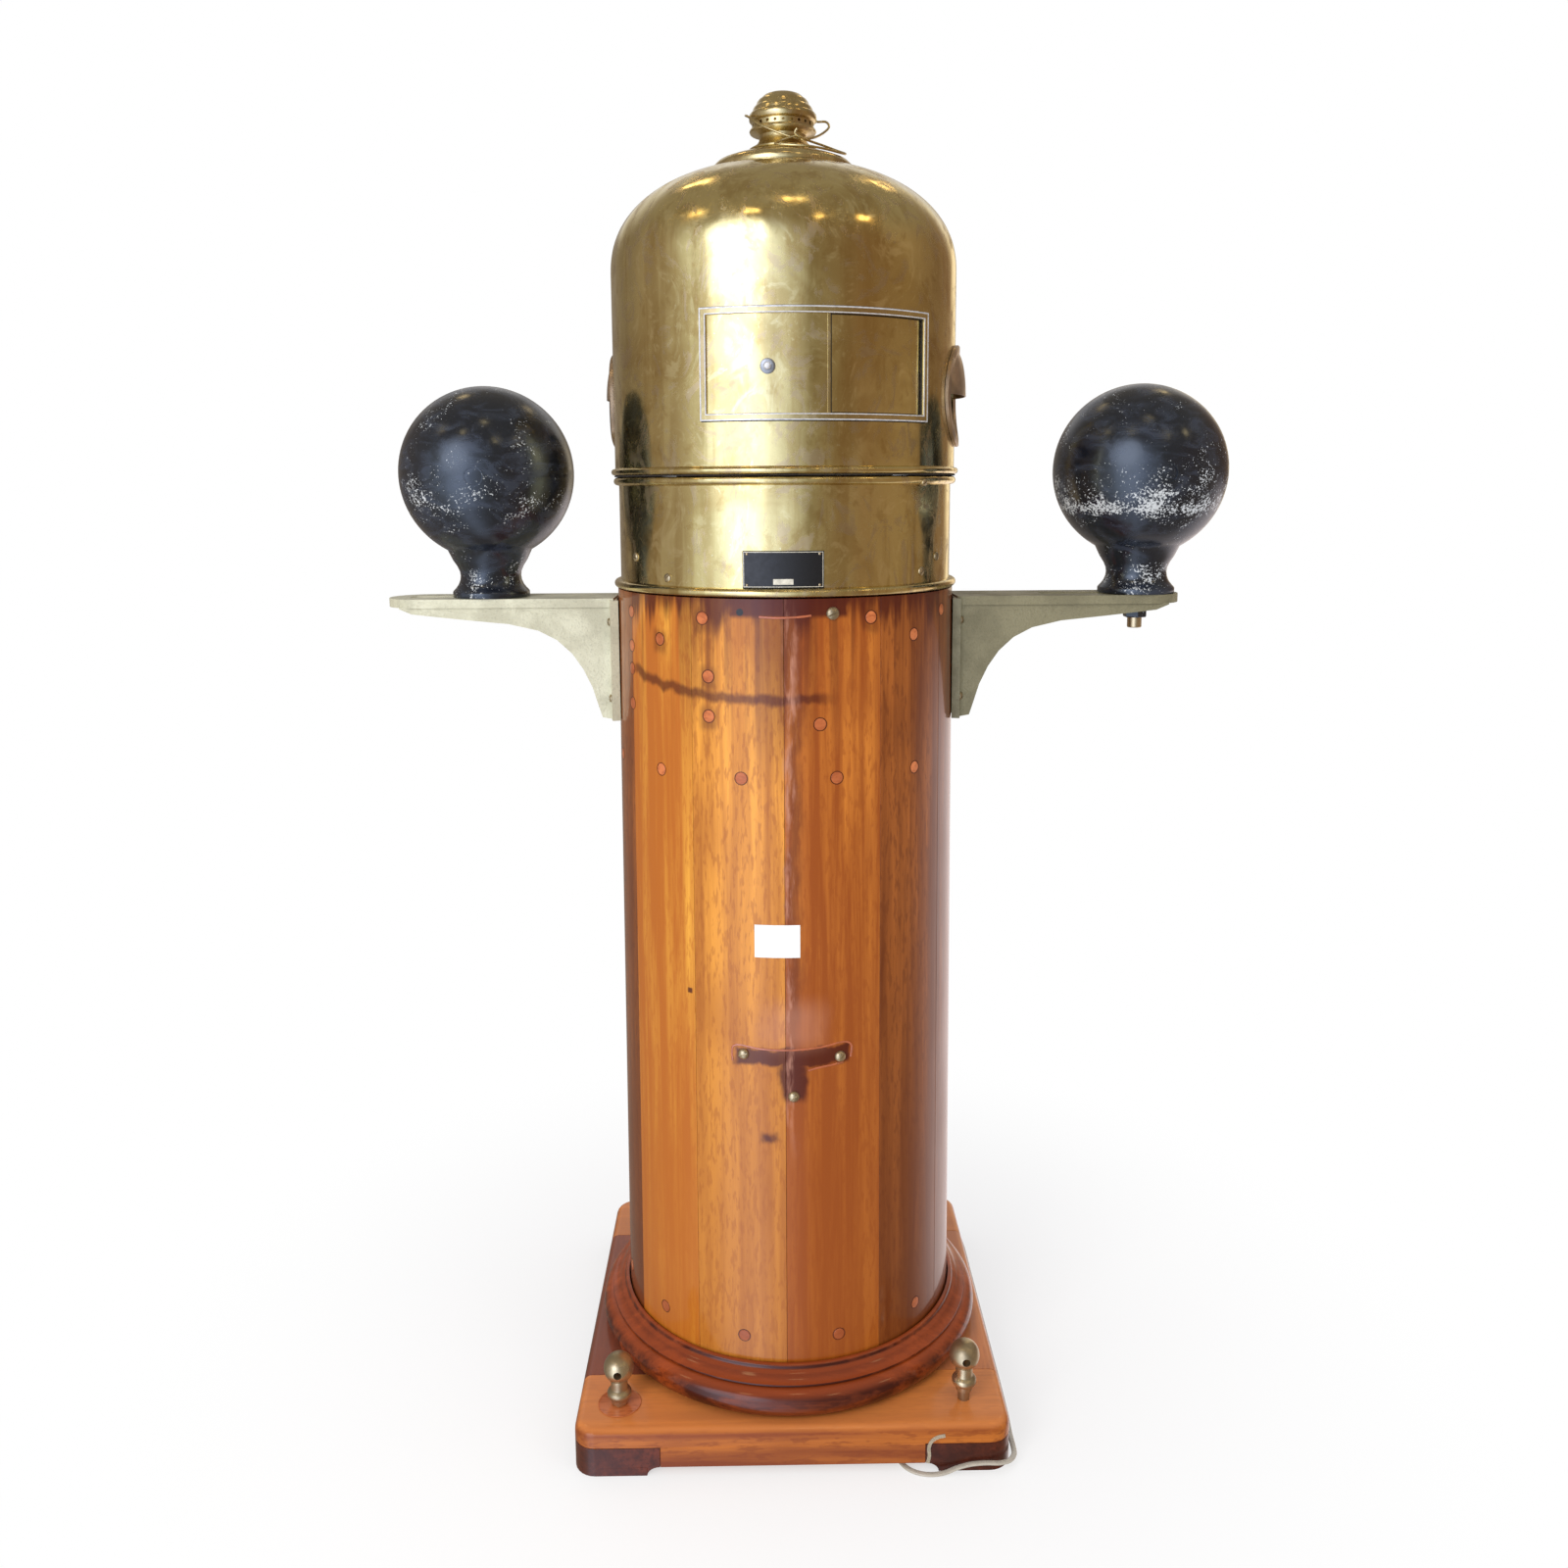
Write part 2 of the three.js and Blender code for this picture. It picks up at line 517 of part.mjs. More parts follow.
function buildHood() {
  const group = assembly();
  const inner = HOOD.outer - HOOD.wall;
  const outerDome = domeProfile(HOOD.outer, HOOD.domeRise, HOOD.flueRadius);
  const innerDome = domeProfile(inner, HOOD.domeRise - HOOD.wall, HOOD.flueRadius, 4);
  const bead = 3.2;
  const shell = turned([
    [inner, HOOD.bottom], ...arc(175.4, HOOD.bottom + bead, bead, -90, 90, 2),
    [HOOD.outer, HOOD.bottom + 2 * bead], ...outerDome.reverse(), ...innerDome,
  ]);
  const window = SHUTTER.windowAzimuth;
  const openings = [
    sector(150, 200, window - SHUTTER.windowHalfSpan, window + SHUTTER.windowHalfSpan, 1036, 1113),
    sector(150, 200, 156, 204, REAR_WINDOW.bottom + 10, REAR_WINDOW.top - 10),
    ...VENT.azimuths.map((azimuth) => radialRod(azimuth, VENT.height, 150, 200, 34)),
  ];
  place(group, 'hood_shell', cut(shell, ...openings), 'brass');
  place(group, 'hood_seat_felt', ring(168.7, 175.8, HOUSING.top + GAP, HOOD.bottom - GAP), 'felt');

  buildFinial(group);
  const { azimuth, halfSpan, bottom, top } = SHUTTER;
  const shutterFrame = framedOpening(azimuth - halfSpan, azimuth + halfSpan, bottom, top);
  place(group, 'shutter_frame', shutterFrame, 'brass');
  const door = join(
    sector(175.3, 176.7, SHUTTER.doorFrom, SHUTTER.doorTo, bottom + 3.8, top - 3.8),
    radialRod(SHUTTER.knobAzimuth, SHUTTER.knobHeight, 176, 177.8, 7, 16),
    radialRod(SHUTTER.knobAzimuth, SHUTTER.knobHeight, 176, 183.5, 4, 12),
  );
  place(group, 'shutter_door', door, 'brass');

  const rear = REAR_WINDOW;
  const from = rear.azimuth - rear.halfSpan;
  const to = rear.azimuth + rear.halfSpan;
  place(group, 'rear_window_frame', framedOpening(from, to, rear.bottom, rear.top, 10), 'brass');
  const pane = sector(175.2, 176.8, from + 2, to - 2, rear.bottom + 5.6, rear.top - 5.6);
  place(group, 'rear_window_glass', pane, 'glass');

  place(group, 'side_vent_right', sideVent(VENT.azimuths[0]), 'brass');
  place(group, 'side_vent_left', sideVent(VENT.azimuths[1]), 'brass');
}

/** A round rim on the hood's side with a half-dome cowl that opens downwards. */
function sideVent(azimuth) {
  const skin = HOOD.outer + GAP;
  const drum = (radius) => radialRod(0, VENT.height, 150, 210, radius, SMALL);
  const rim = cut(
    sector(skin, skin + 3.6, -24, 24, VENT.height - 60, VENT.height + 60, 6),
    drum(VENT.radius - VENT.rimWidth),
  ).intersect(drum(VENT.radius));
  const ellipsoid = (shrink) => {
    const geometry = new THREE.SphereGeometry(1, 14, 8);
    geometry.scale(VENT.radius - 4 - shrink, VENT.rise + 7 - shrink, VENT.radius - 4 - shrink);
    return solid(geometry.translate(0, -(skin - 7), VENT.height));
  };
  const upperHalf = box([-60, -210, VENT.height], [60, -140, VENT.height + 60]);
  const hood = sector(100, skin, -36, 36, 980, 1130);
  const cowl = cut(ellipsoid(0).intersect(upperHalf), ellipsoid(1.8), hood);
  return join(rim, cowl).rotate([0, 0, azimuth]);
}

function buildFinial(group) {
  const edge = 71.2;
  const seat = (radius) => [radius, domeHeight(radius) + GAP + 0.25];
  const flue = HOOD.flueRadius;
  place(group, 'finial_flange', turned([
    seat(flue), seat(30), seat(50), seat(edge), [edge, 1280.6], [66, 1284.6], [56, 1288.6], [41, 1292.6],
    [flue, 1295.4],
  ], SMALL), 'brass');
  place(group, 'finial_knob', turned([
    [flue - 2, 1295.8], [34.5, 1295.8], [34.5, 1297.6], [25, 1304], [23.3, 1310], [33.5, 1313.6],
    [33.5, 1317], [31, 1318.4], [31, 1323.2], [33.8, 1324.4], [33.8, 1332.4], [31, 1334], [28, 1338.5],
    [23.4, 1346], [16.6, 1350], [0, 1353], [0, 1338], [flue - 2, 1332],
  ].reverse(), 16), 'brass');
}

// ---- Correcting gear inside the column ----

function buildCorrectors() {
  const group = assembly();
  const { frameBottom, frameTop, postOffset, screwOffset } = TRAY;
  const corners = [[-1, -1], [1, -1], [-1, 1], [1, 1]].map(([sx, sy]) => [sx * postOffset, sy * postOffset]);
  const screws = { fore_aft: [screwOffset, screwOffset], athwart: [-screwOffset, screwOffset] };
  const upright = ([x, y], radius, from, to, sides = 8) => rod([x, y, from], [x, y, to], radius, sides);
  const shaft = 5;
  const running = 0.6;
  const plateRadius = 150;
  const plateThickness = 6;
  const screwHoles = Object.values(screws).map((at) => upright(at, shaft + running, 400, 840));
  const tubeHole = rod([0, 0, 400], [0, 0, 840], 22, 12);
  const frame = join(
    ...[frameBottom, frameTop - plateThickness].map((height) => turned([
      [0, height], [plateRadius, height],
      [plateRadius, height + plateThickness], [0, height + plateThickness],
    ], SMALL)),
    ...corners.map((at) => upright(at, shaft, frameBottom + 3, frameTop - 3)),
  );
  place(group, 'magnet_frame', cut(frame, tubeHole, ...screwHoles), 'oldBrass');

  // Each tray slides on the four posts; its magnet tubes lie along Y or along X.
  const tray = (height, alongX) => {
    const plate = box([-106, -106, height], [106, 106, height + 5]);
    const magnets = [-54, -36, 36, 54].map((offset) => (
      alongX ? rod([-60, offset, height + 6], [60, offset, height + 6], 5, 6)
        : rod([offset, -60, height + 6], [offset, 60, height + 6], 5, 6)
    ));
    const holes = [...corners, ...Object.values(screws)].map((at) => (
      upright(at, shaft + running, height - 10, height + 30)
    ));
    return cut(join(plate, ...magnets), tubeHole, ...holes);
  };
  place(group, 'fore_aft_tray', tray(TRAY.foreAft, false), 'oldBrass');
  place(group, 'athwart_tray', tray(TRAY.athwart, true), 'oldBrass');
  Object.entries(screws).forEach(([name, at]) => {
    const screw = join(
      upright(at, shaft, frameBottom - 20, frameTop + 4),
      upright(at, 11, frameBottom - 22, frameBottom - GAP - 2, 8),
    );
    place(group, `${name}_screw`, screw, 'steel');
  });

  place(group, 'heeling_tube', turned([
    [16, 560], [18, 560], [18, 855], [32, 855], [32, HOUSING.bottom - GAP], [16, HOUSING.bottom - GAP],
  ], 16), 'brass');
  place(group, 'heeling_bucket', turned([
    [0, 680], [14.5, 680], [14.5, 770], [3, 774], [1.6, 776], [1.6, 800], [0, 800],
  ], 12), 'brass');
}

// ---- Lead: gland, cord, coil and plug ----

const CORD_ROUTE = [
  [105, -193, 3.1], [105.4, -198, 3.1], [107.4, -205, 3.1], [111.6, -212, 3.1], [118, -218, 3.1],
  [127, -222, 3.1], [137, -223.5, 3.3], [149, -223, 4.6], [161, -221.6, 8.4], [175, -221.2, 12],
  [191, -221.4, 13.4], [204, -221.2, 13], [214, -217, 12], [220.6, -207, 10.6], [222.4, -193, 8.4],
  [223, -176, 5.8], [224, -158, 3.8], [225, -140, 3.1], [225.4, -100, 3.1], [225.4, -40, 3.1],
  [225.4, 40, 3.1], [225.4, 120, 3.1], [225.2, 176, 3.1], [222.5, 198, 3.1], [213, 216, 3.1], [197, 226, 3.1],
  [178, 229.2, 3.1], [160, 229.3, 3.1], [140, 229.3, 3.1],
];

function buildLead() {
  const group = assembly();
  const [startX, startY] = CORD_ROUTE[0];
  const glandLength = 30;
  const gland = join(
    box([startX - 8, startY + GAP, 0.5], [startX + 8, startY + glandLength, 6]),
    rod([startX, startY + glandLength / 2, 5], [startX, startY + glandLength / 2, BASE.underside - GAP], 6, 16),
  );
  place(group, 'cord_gland', gland, 'plastic');

  const section = new THREE.Shape();
  section.absarc(0, 0, LEAD.thickness / 2, 0, 2 * Math.PI);
  const path = new THREE.CatmullRomCurve3(CORD_ROUTE.map((point) => new THREE.Vector3(...point)));
  const cord = new THREE.ExtrudeGeometry(section, {
    steps: 54, curveSegments: 4, bevelEnabled: false, extrudePath: path,
  });
  place(group, 'lamp_cord', solid(cord), 'lead');

  // Two turns side by side, three high.
  const { thickness, clearance, coilRadius, coilLayers } = LEAD;
  const coilTop = clearance + coilLayers * thickness;
  const coil = ring(coilRadius - thickness, coilRadius + thickness, clearance, coilTop, SMALL);
  place(group, 'lamp_cord_coil', coil.translate([...LEAD.coilCentre, 0]), 'lead');

  const pinBottom = 5;
  const pinHeight = 6;
  const pinHalfWidth = 0.8;
  const pins = [-PLUG.pinSpacing / 2, PLUG.pinSpacing / 2].map((offset) => box(
    [-PLUG.halfLength - PLUG.pinLength, offset - pinHalfWidth, pinBottom],
    [-PLUG.halfLength + 1, offset + pinHalfWidth, pinBottom + pinHeight],
  ));
  const plug = join(
    box([-PLUG.halfLength, -PLUG.halfWidth, 0], [PLUG.halfLength, PLUG.halfWidth, PLUG.height]), ...pins,
  );
  place(group, 'lamp_plug', plug.translate([...LEAD.coilCentre, coilTop + GAP]), 'plastic');
}

buildBase();
buildColumn();
buildSphereGear();
buildHousing();
buildCompass();
buildHood();
buildCorrectors();
buildLead();

export default binnacle;
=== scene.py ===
"""A ship's compensating binnacle: staved column, brass hood, correcting spheres.

Helpers take millimetres in the frame's axes and scale to metres as they make a mesh.
Azimuths are degrees round the pillar: 0 is the forward face (-Y), 90 is +X, 180 is aft.
"""
import math
import random

import bmesh
import bpy
from mathutils import Matrix, Vector


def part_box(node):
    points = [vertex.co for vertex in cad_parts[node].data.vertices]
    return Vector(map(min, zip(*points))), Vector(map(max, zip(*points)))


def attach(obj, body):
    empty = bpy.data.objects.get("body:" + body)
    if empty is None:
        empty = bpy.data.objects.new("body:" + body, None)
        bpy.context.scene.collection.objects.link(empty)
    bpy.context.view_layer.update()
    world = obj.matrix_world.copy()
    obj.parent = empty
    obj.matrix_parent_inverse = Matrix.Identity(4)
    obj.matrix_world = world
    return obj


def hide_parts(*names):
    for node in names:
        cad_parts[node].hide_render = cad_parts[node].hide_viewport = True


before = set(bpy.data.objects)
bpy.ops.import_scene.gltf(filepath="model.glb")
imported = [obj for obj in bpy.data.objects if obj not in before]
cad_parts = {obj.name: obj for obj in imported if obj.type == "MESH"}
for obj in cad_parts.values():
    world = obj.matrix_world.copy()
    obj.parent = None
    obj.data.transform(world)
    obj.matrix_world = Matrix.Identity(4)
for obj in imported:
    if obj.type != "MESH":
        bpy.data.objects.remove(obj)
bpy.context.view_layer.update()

# ---- Driving sizes, in millimetres unless they say otherwise ----
MM = 0.001
FINE = 160  # sides of the large turned pieces
SMALL = 64  # sides of the middling ones
AZIMUTH_STEP = 2.0  # degrees between the points of a curved slab
SHARP_ANGLE = 35  # degrees between two faces from which their edge counts as hard


def extent(node):
    """The lowest and highest corners of a CAD node, in millimetres."""
    low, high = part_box(node)
    return Vector(low) / MM, Vector(high) / MM


COLUMN_BOTTOM = extent("column_stave_front")[0].z
COLUMN_TOP = extent("column_stave_front")[1].z
COLUMN_FOOT_RADIUS = -extent("column_stave_front")[0].y
COLUMN_HEAD_RADIUS = 174.3
COLUMN_WALL = 22.0
STAVE_EDGES = [-150, -121, -91, -61.5, -31.8, -1.5, 30.2, 60, 90, 120, 150]
MIDDLE_STAVE = 4  # the stave at the front, counted from 0
DOOR_EDGES = (156, 204)
DOOR_BOTTOM, DOOR_TOP = 300.0, 720.0

BASE_HALF = extent("base_board_front")[1].x
BASE_TOP = extent("base_board_front")[1].z
BASE_UNDERSIDE = 9.0
BASE_LAP = 30.0
BASE_INNER = 131.0
BASE_CORNER = 22.0
BASE_ROUND = 9.0
FOOT_LENGTH = 74.0
FOOT_COVE = 13.0

HOUSING_BOTTOM, HOUSING_TOP = (corner.z for corner in extent("bowl_housing"))
HOUSING_RADIUS = 171.0
HOOD_BOTTOM, HOOD_CROWN = (corner.z for corner in extent("hood_shell"))
HOOD_RADIUS = 174.5
HOOD_WALL = 2.2
HOOD_SHOULDER = 1175.0
DOME_RISE = 107.0
DOME_POWER = 2.25
FLUE_RADIUS = 16.0
SHUTTER_FROM, SHUTTER_TO = -26.4, 48.4
SHUTTER_BOTTOM, SHUTTER_TOP = (corner.z for corner in extent("shutter_frame"))
SHUTTER_DOOR_FROM, SHUTTER_DOOR_TO = -25.2, 12.8
SHUTTER_WINDOW = (-22, 10, 1036, 1113)
REAR_WINDOW = (152, 208, 1010, 1140)
VENT_AZIMUTHS = {"right": 79, "left": 259}
VENT_HEIGHT = 1053.5
VENT_RADIUS = 50.0
GIMBAL_HEIGHT = 955.0
SPHERE_RADIUS = 88.9
SPHERE_HEIGHT = 979.0
ARM_TOP = 852.0

HOOD_SKIN = HOOD_RADIUS + 0.3  # the inner face of what is fixed to the hood
VENT_HOLE = 34.0
THROUGH = (150, 200)  # radii that a cut through the hood's wall runs between

CAMERA_PLACE = (-0.0232, -1.3989, 0.9666)  # metres
CAMERA_PAN, CAMERA_TILT, CAMERA_ROLL = -0.88, 81.38, -0.30
CAMERA_LENS = 30.51
CAMERA_SHIFT = -0.0625

# The lead's route, in metres: out of the gland, round the base, to the coil's edge.
LEAD_WIDTH = 0.0054
LEAD_THICKNESS = 0.0027
LEAD_DROP = 0.0016  # the flat lead lies this much lower than the round solid's centre line
LEAD_ROUTE = [
    (0.105, -0.193, 0.0031), (0.1054, -0.198, 0.0031), (0.1074, -0.205, 0.0031),
    (0.1116, -0.212, 0.0031), (0.118, -0.218, 0.0031), (0.127, -0.222, 0.0031),
    (0.137, -0.2235, 0.0033), (0.149, -0.223, 0.0046), (0.161, -0.2216, 0.0084),
    (0.175, -0.2212, 0.0120), (0.191, -0.2214, 0.0134), (0.204, -0.2212, 0.0130),
    (0.214, -0.217, 0.0120), (0.2206, -0.207, 0.0106), (0.2224, -0.193, 0.0084),
    (0.223, -0.176, 0.0058), (0.224, -0.158, 0.0038), (0.225, -0.140, 0.0031),
    (0.2254, -0.100, 0.0031), (0.2254, -0.040, 0.0031), (0.2254, 0.040, 0.0031),
    (0.2254, 0.120, 0.0031), (0.2252, 0.176, 0.0031), (0.2225, 0.198, 0.0031),
    (0.213, 0.216, 0.0031), (0.197, 0.226, 0.0031), (0.178, 0.2292, 0.0031),
    (0.160, 0.2293, 0.0031), (0.140, 0.2293, 0.0031),
]
COIL_CENTRE = (0.120, 0.262)
COIL_RADIUS = 0.030
COIL_BOTTOM = 0.0031


# ---- Points and curves ----

def around(azimuth, radius, height=0.0):
    """The point at an azimuth, a radius and a height."""
    turn = math.radians(azimuth)
    return Vector((radius * math.sin(turn), -radius * math.cos(turn), height))


def spread(first, last, count):
    """Evenly spaced values, both ends included."""
    return [first + (last - first) * i / (count - 1) for i in range(count)]


def arc(centre_radius, centre_height, radius, first, last, count):
    """Profile points along an arc, angles in degrees."""
    turns = [math.radians(angle) for angle in spread(first, last, count)]
    return [
        (centre_radius + radius * math.cos(t), centre_height + radius * math.sin(t)) for t in turns
    ]


def curve_through(points, steps):
    """A smooth path through the points (a centripetal spline)."""
    points = [Vector(point) for point in points]
    ends = [2 * points[0] - points[1], *points, 2 * points[-1] - points[-2]]
    path = []
    for before, start, stop, after in zip(ends, ends[1:], ends[2:], ends[3:]):
        t0 = 0.0
        t1 = t0 + (start - before).length ** 0.5
        t2 = t1 + (stop - start).length ** 0.5
        t3 = t2 + (after - stop).length ** 0.5
        for i in range(steps):
            t = t1 + (t2 - t1) * i / steps
            a1 = before.lerp(start, (t - t0) / (t1 - t0))
            a2 = start.lerp(stop, (t - t1) / (t2 - t1))
            a3 = stop.lerp(after, (t - t2) / (t3 - t2))
            b1 = a1.lerp(a2, (t - t0) / (t2 - t0))
            b2 = a2.lerp(a3, (t - t1) / (t3 - t1))
            path.append(b1.lerp(b2, (t - t1) / (t2 - t1)))
    return [*path, points[-1]]


# ---- Meshes ----

def face_outwards(mesh, merge=0.0):
    """Turn a mesh's faces outwards, once points closer than merge are joined."""
    shell = bmesh.new()
    shell.from_mesh(mesh)
    if merge:
        bmesh.ops.remove_doubles(shell, verts=shell.verts, dist=merge)
    bmesh.ops.recalc_face_normals(shell, faces=shell.faces)
    shell.to_mesh(mesh)
    shell.free()


def new_object(name, mesh, finish, body, replaces=(), sharp=SHARP_ANGLE, bevel=0.0):
    """Link a mesh as a piece: its finish, its shading, its body and what it stands for."""
    obj = bpy.data.objects.new(name, mesh)
    bpy.context.collection.objects.link(obj)
    face_outwards(mesh, 1e-6)
    mesh.shade_smooth()
    mesh.set_sharp_from_angle(angle=math.radians(sharp))
    material, slot = FINISHES[finish]
    mesh.materials.append(material)
    if bevel:
        soften(obj, bevel)
    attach(obj, body)
    if replaces:
        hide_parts(*replaces)
    return obj


def soften(obj, width):
    """Round a piece's hard edges."""
    bevel = obj.modifiers.new("edges", "BEVEL")
    bevel.width = width * MM
    bevel.segments = 2
    bevel.limit_method = "ANGLE"
    bevel.angle_limit = math.radians(SHARP_ANGLE)
    bevel.harden_normals = True


def solid(name, points, faces, finish, body="root", **options):
    mesh = bpy.data.meshes.new(name)
    mesh.from_pydata([Vector(point) * MM for point in points], [], faces)
    return new_object(name, mesh, finish, body, **options)


def turned(profile, sides, closed=True):
    """Points and faces of a profile of (radius, height) turned round the Z axis."""
    points, faces, rows = [], [], []
    for radius, height in profile:
        first = len(points)
        if radius < 1e-6:
            rows.append([first] * sides)
            points.append(Vector((0, 0, height)))
            continue
        rows.append(list(range(first, first + sides)))
        points += [around(360 * i / sides, radius, height) for i in range(sides)]
    following = rows[1:] + rows[:1] if closed else rows[1:]
    for low, high in zip(rows, following):
        for i in range(sides):
            j = (i + 1) % sides
            face = list(dict.fromkeys((low[i], low[j], high[j], high[i])))
            if len(face) > 2:
                faces.append(face)
    return points, faces


def lathe(name, profile, finish, body="root", sides=FINE, closed=True, at=(0, 0, 0), **options):
    """A turned piece; a profile that starts and ends on the axis needs closed=False."""
    points, faces = turned(profile, sides, closed)
    return solid(name, [point + Vector(at) for point in points], faces, finish, body, **options)
def raised(profile, height):
    """A profile of (radius, height) moved up."""
    return [(radius, height + level) for radius, level in profile]


def studs(name, profile, places, finish, body="root", sides=24, closed=False, **options):
    """The same small turned piece standing out at several (azimuth, radius, height) places."""
    shapes = []
    shape, faces = turned(profile, sides, closed)
    for azimuth, radius, height in places:
        seat = around(azimuth, radius, height)
        outward, aside = around(azimuth, 1), around(azimuth + 90, 1)
        points = [seat + aside * p.x + Vector((0, 0, p.y)) + outward * p.z for p in shape]
        shapes.append((points, faces))
    return solid(name, *join_shapes(shapes), finish, body, **options)


def grid_slab(azimuths, heights, inner, outer):
    """Points and faces of a slab bent round the pillar; radii are functions of height."""
    points = [around(a, outer(h), h) for h in heights for a in azimuths]
    points += [around(a, inner(h), h) for h in heights for a in azimuths]
    wide, tall = len(azimuths), len(heights)
    back = wide * tall
    faces = []
    for row in range(tall - 1):
        for i in range(wide - 1):
            corner = row * wide + i
            face = [corner, corner + 1, corner + wide + 1, corner + wide]
            faces.append(face)
            faces.append([back + index for index in reversed(face)])
    rim = [(i, i + 1) for i in range(wide - 1)]
    rim += [((tall - 1) * wide + i + 1, (tall - 1) * wide + i) for i in range(wide - 1)]
    rim += [((row + 1) * wide, row * wide) for row in range(tall - 1)]
    rim += [(row * wide + wide - 1, (row + 1) * wide + wide - 1) for row in range(tall - 1)]
    faces += [[a, b, back + b, back + a] for a, b in rim]
    return points, faces


def slab(name, span, levels, inner, outer, finish, body="root", step=AZIMUTH_STEP, **options):
    """A curved slab between two azimuths and two heights."""
    columns = max(2, math.ceil(abs(span[1] - span[0]) / step) + 1)
    points, faces = grid_slab(
        spread(*span, columns), spread(*levels, 2), lambda _: inner, lambda _: outer,
    )
    return solid(name, points, faces, finish, body, **options)


def block_mesh(low, high):
    """Points and faces of a box."""
    points = [Vector((x, y, z)) for x in (low[0], high[0]) for y in (low[1], high[1])
              for z in (low[2], high[2])]
    faces = [[0, 1, 3, 2], [4, 6, 7, 5], [0, 4, 5, 1], [2, 3, 7, 6], [0, 2, 6, 4], [1, 5, 7, 3]]
    return points, faces


def wrapped_faces(rows, size, joined=False):
    """Faces between rows of points that are loops; the ends are capped, or joined to each other."""
    faces = []
    for row in range(rows if joined else rows - 1):
        low, high = row * size, (row + 1) % rows * size
        for i in range(size):
            j = (i + 1) % size
            faces.append([low + i, low + j, high + j, high + i])
    if not joined:
        last = (rows - 1) * size
        faces += [list(range(size)), [last + i for i in reversed(range(size))]]
    return faces


def prism(top, depth):
    """Points and faces of a flat shape given a thickness downwards."""
    count = len(top)
    faces = [list(range(count)), list(reversed(range(count, 2 * count)))]
    faces += [[i, count + i, count + (i + 1) % count, (i + 1) % count] for i in range(count)]
    return top + [point - Vector((0, 0, depth)) for point in top], faces


def sweep(name, path, section, finish, body="root", uprights=None, **options):
    """A section of (side, up) points carried along a path in metres, with closed ends."""
    points = []
    for i, here in enumerate(path):
        along = (path[min(i + 1, len(path) - 1)] - path[max(i - 1, 0)]).normalized()
        upright = uprights[i] if uprights else Vector((0, 0, 1))
        side = along.cross(upright).normalized()
        upright = side.cross(along)
        points += [(here + side * a + upright * b) / MM for a, b in section]
    return solid(name, points, wrapped_faces(len(path), len(section)), finish, body, **options)


def round_section(radius, count):
    turns = [math.tau * i / count for i in range(count)]
    return [(radius * math.cos(turn), radius * math.sin(turn)) for turn in turns]


def squarish(value, power):
    """A cosine or sine pushed outwards, so that a circle becomes a rounded square."""
    return math.copysign(abs(value) ** power, value)


def carve(obj, points, faces):
    """Cut a closed shape, in millimetres, out of a piece, for good."""
    mesh = bpy.data.meshes.new("tool")
    mesh.from_pydata([Vector(point) * MM for point in points], [], faces)
    face_outwards(mesh)
    tool = bpy.data.objects.new("tool", mesh)
    bpy.context.collection.objects.link(tool)
    cut = obj.modifiers.new("cut", "BOOLEAN")
    cut.object = tool
    cut.operation = "DIFFERENCE"
    cut.solver = "EXACT"
    others = [modifier for modifier in obj.modifiers if modifier != cut]
    for modifier in others:
        modifier.show_viewport = False
    graph = bpy.context.evaluated_depsgraph_get()
    result = bpy.data.meshes.new_from_object(obj.evaluated_get(graph))
    for modifier in others:
        modifier.show_viewport = True
    obj.modifiers.remove(cut)
    worn, obj.data = obj.data, result
    bpy.data.objects.remove(tool)
    bpy.data.meshes.remove(mesh)
    bpy.data.meshes.remove(worn)
    result.name = obj.name
    result.set_sharp_from_angle(angle=math.radians(SHARP_ANGLE))


def join_shapes(shapes):
    """One list of points and faces from several."""
    points, faces = [], []
    for shape_points, shape_faces in shapes:
        first = len(points)
        points += shape_points
        faces += [[first + index for index in face] for face in shape_faces]
    return points, faces


def radial_drum(azimuth, height, inner, outer, radius, sides=48):
    """A closed cylinder that points outwards at an azimuth."""
    shape, faces = turned([(0, inner), (radius, inner), (radius, outer), (0, outer)], sides, False)
    outward, aside = around(azimuth, 1), around(azimuth + 90, 1)
    points = [aside * p.x + Vector((0, 0, height + p.y)) + outward * p.z for p in shape]
    return points, faces


# ---- Materials ----

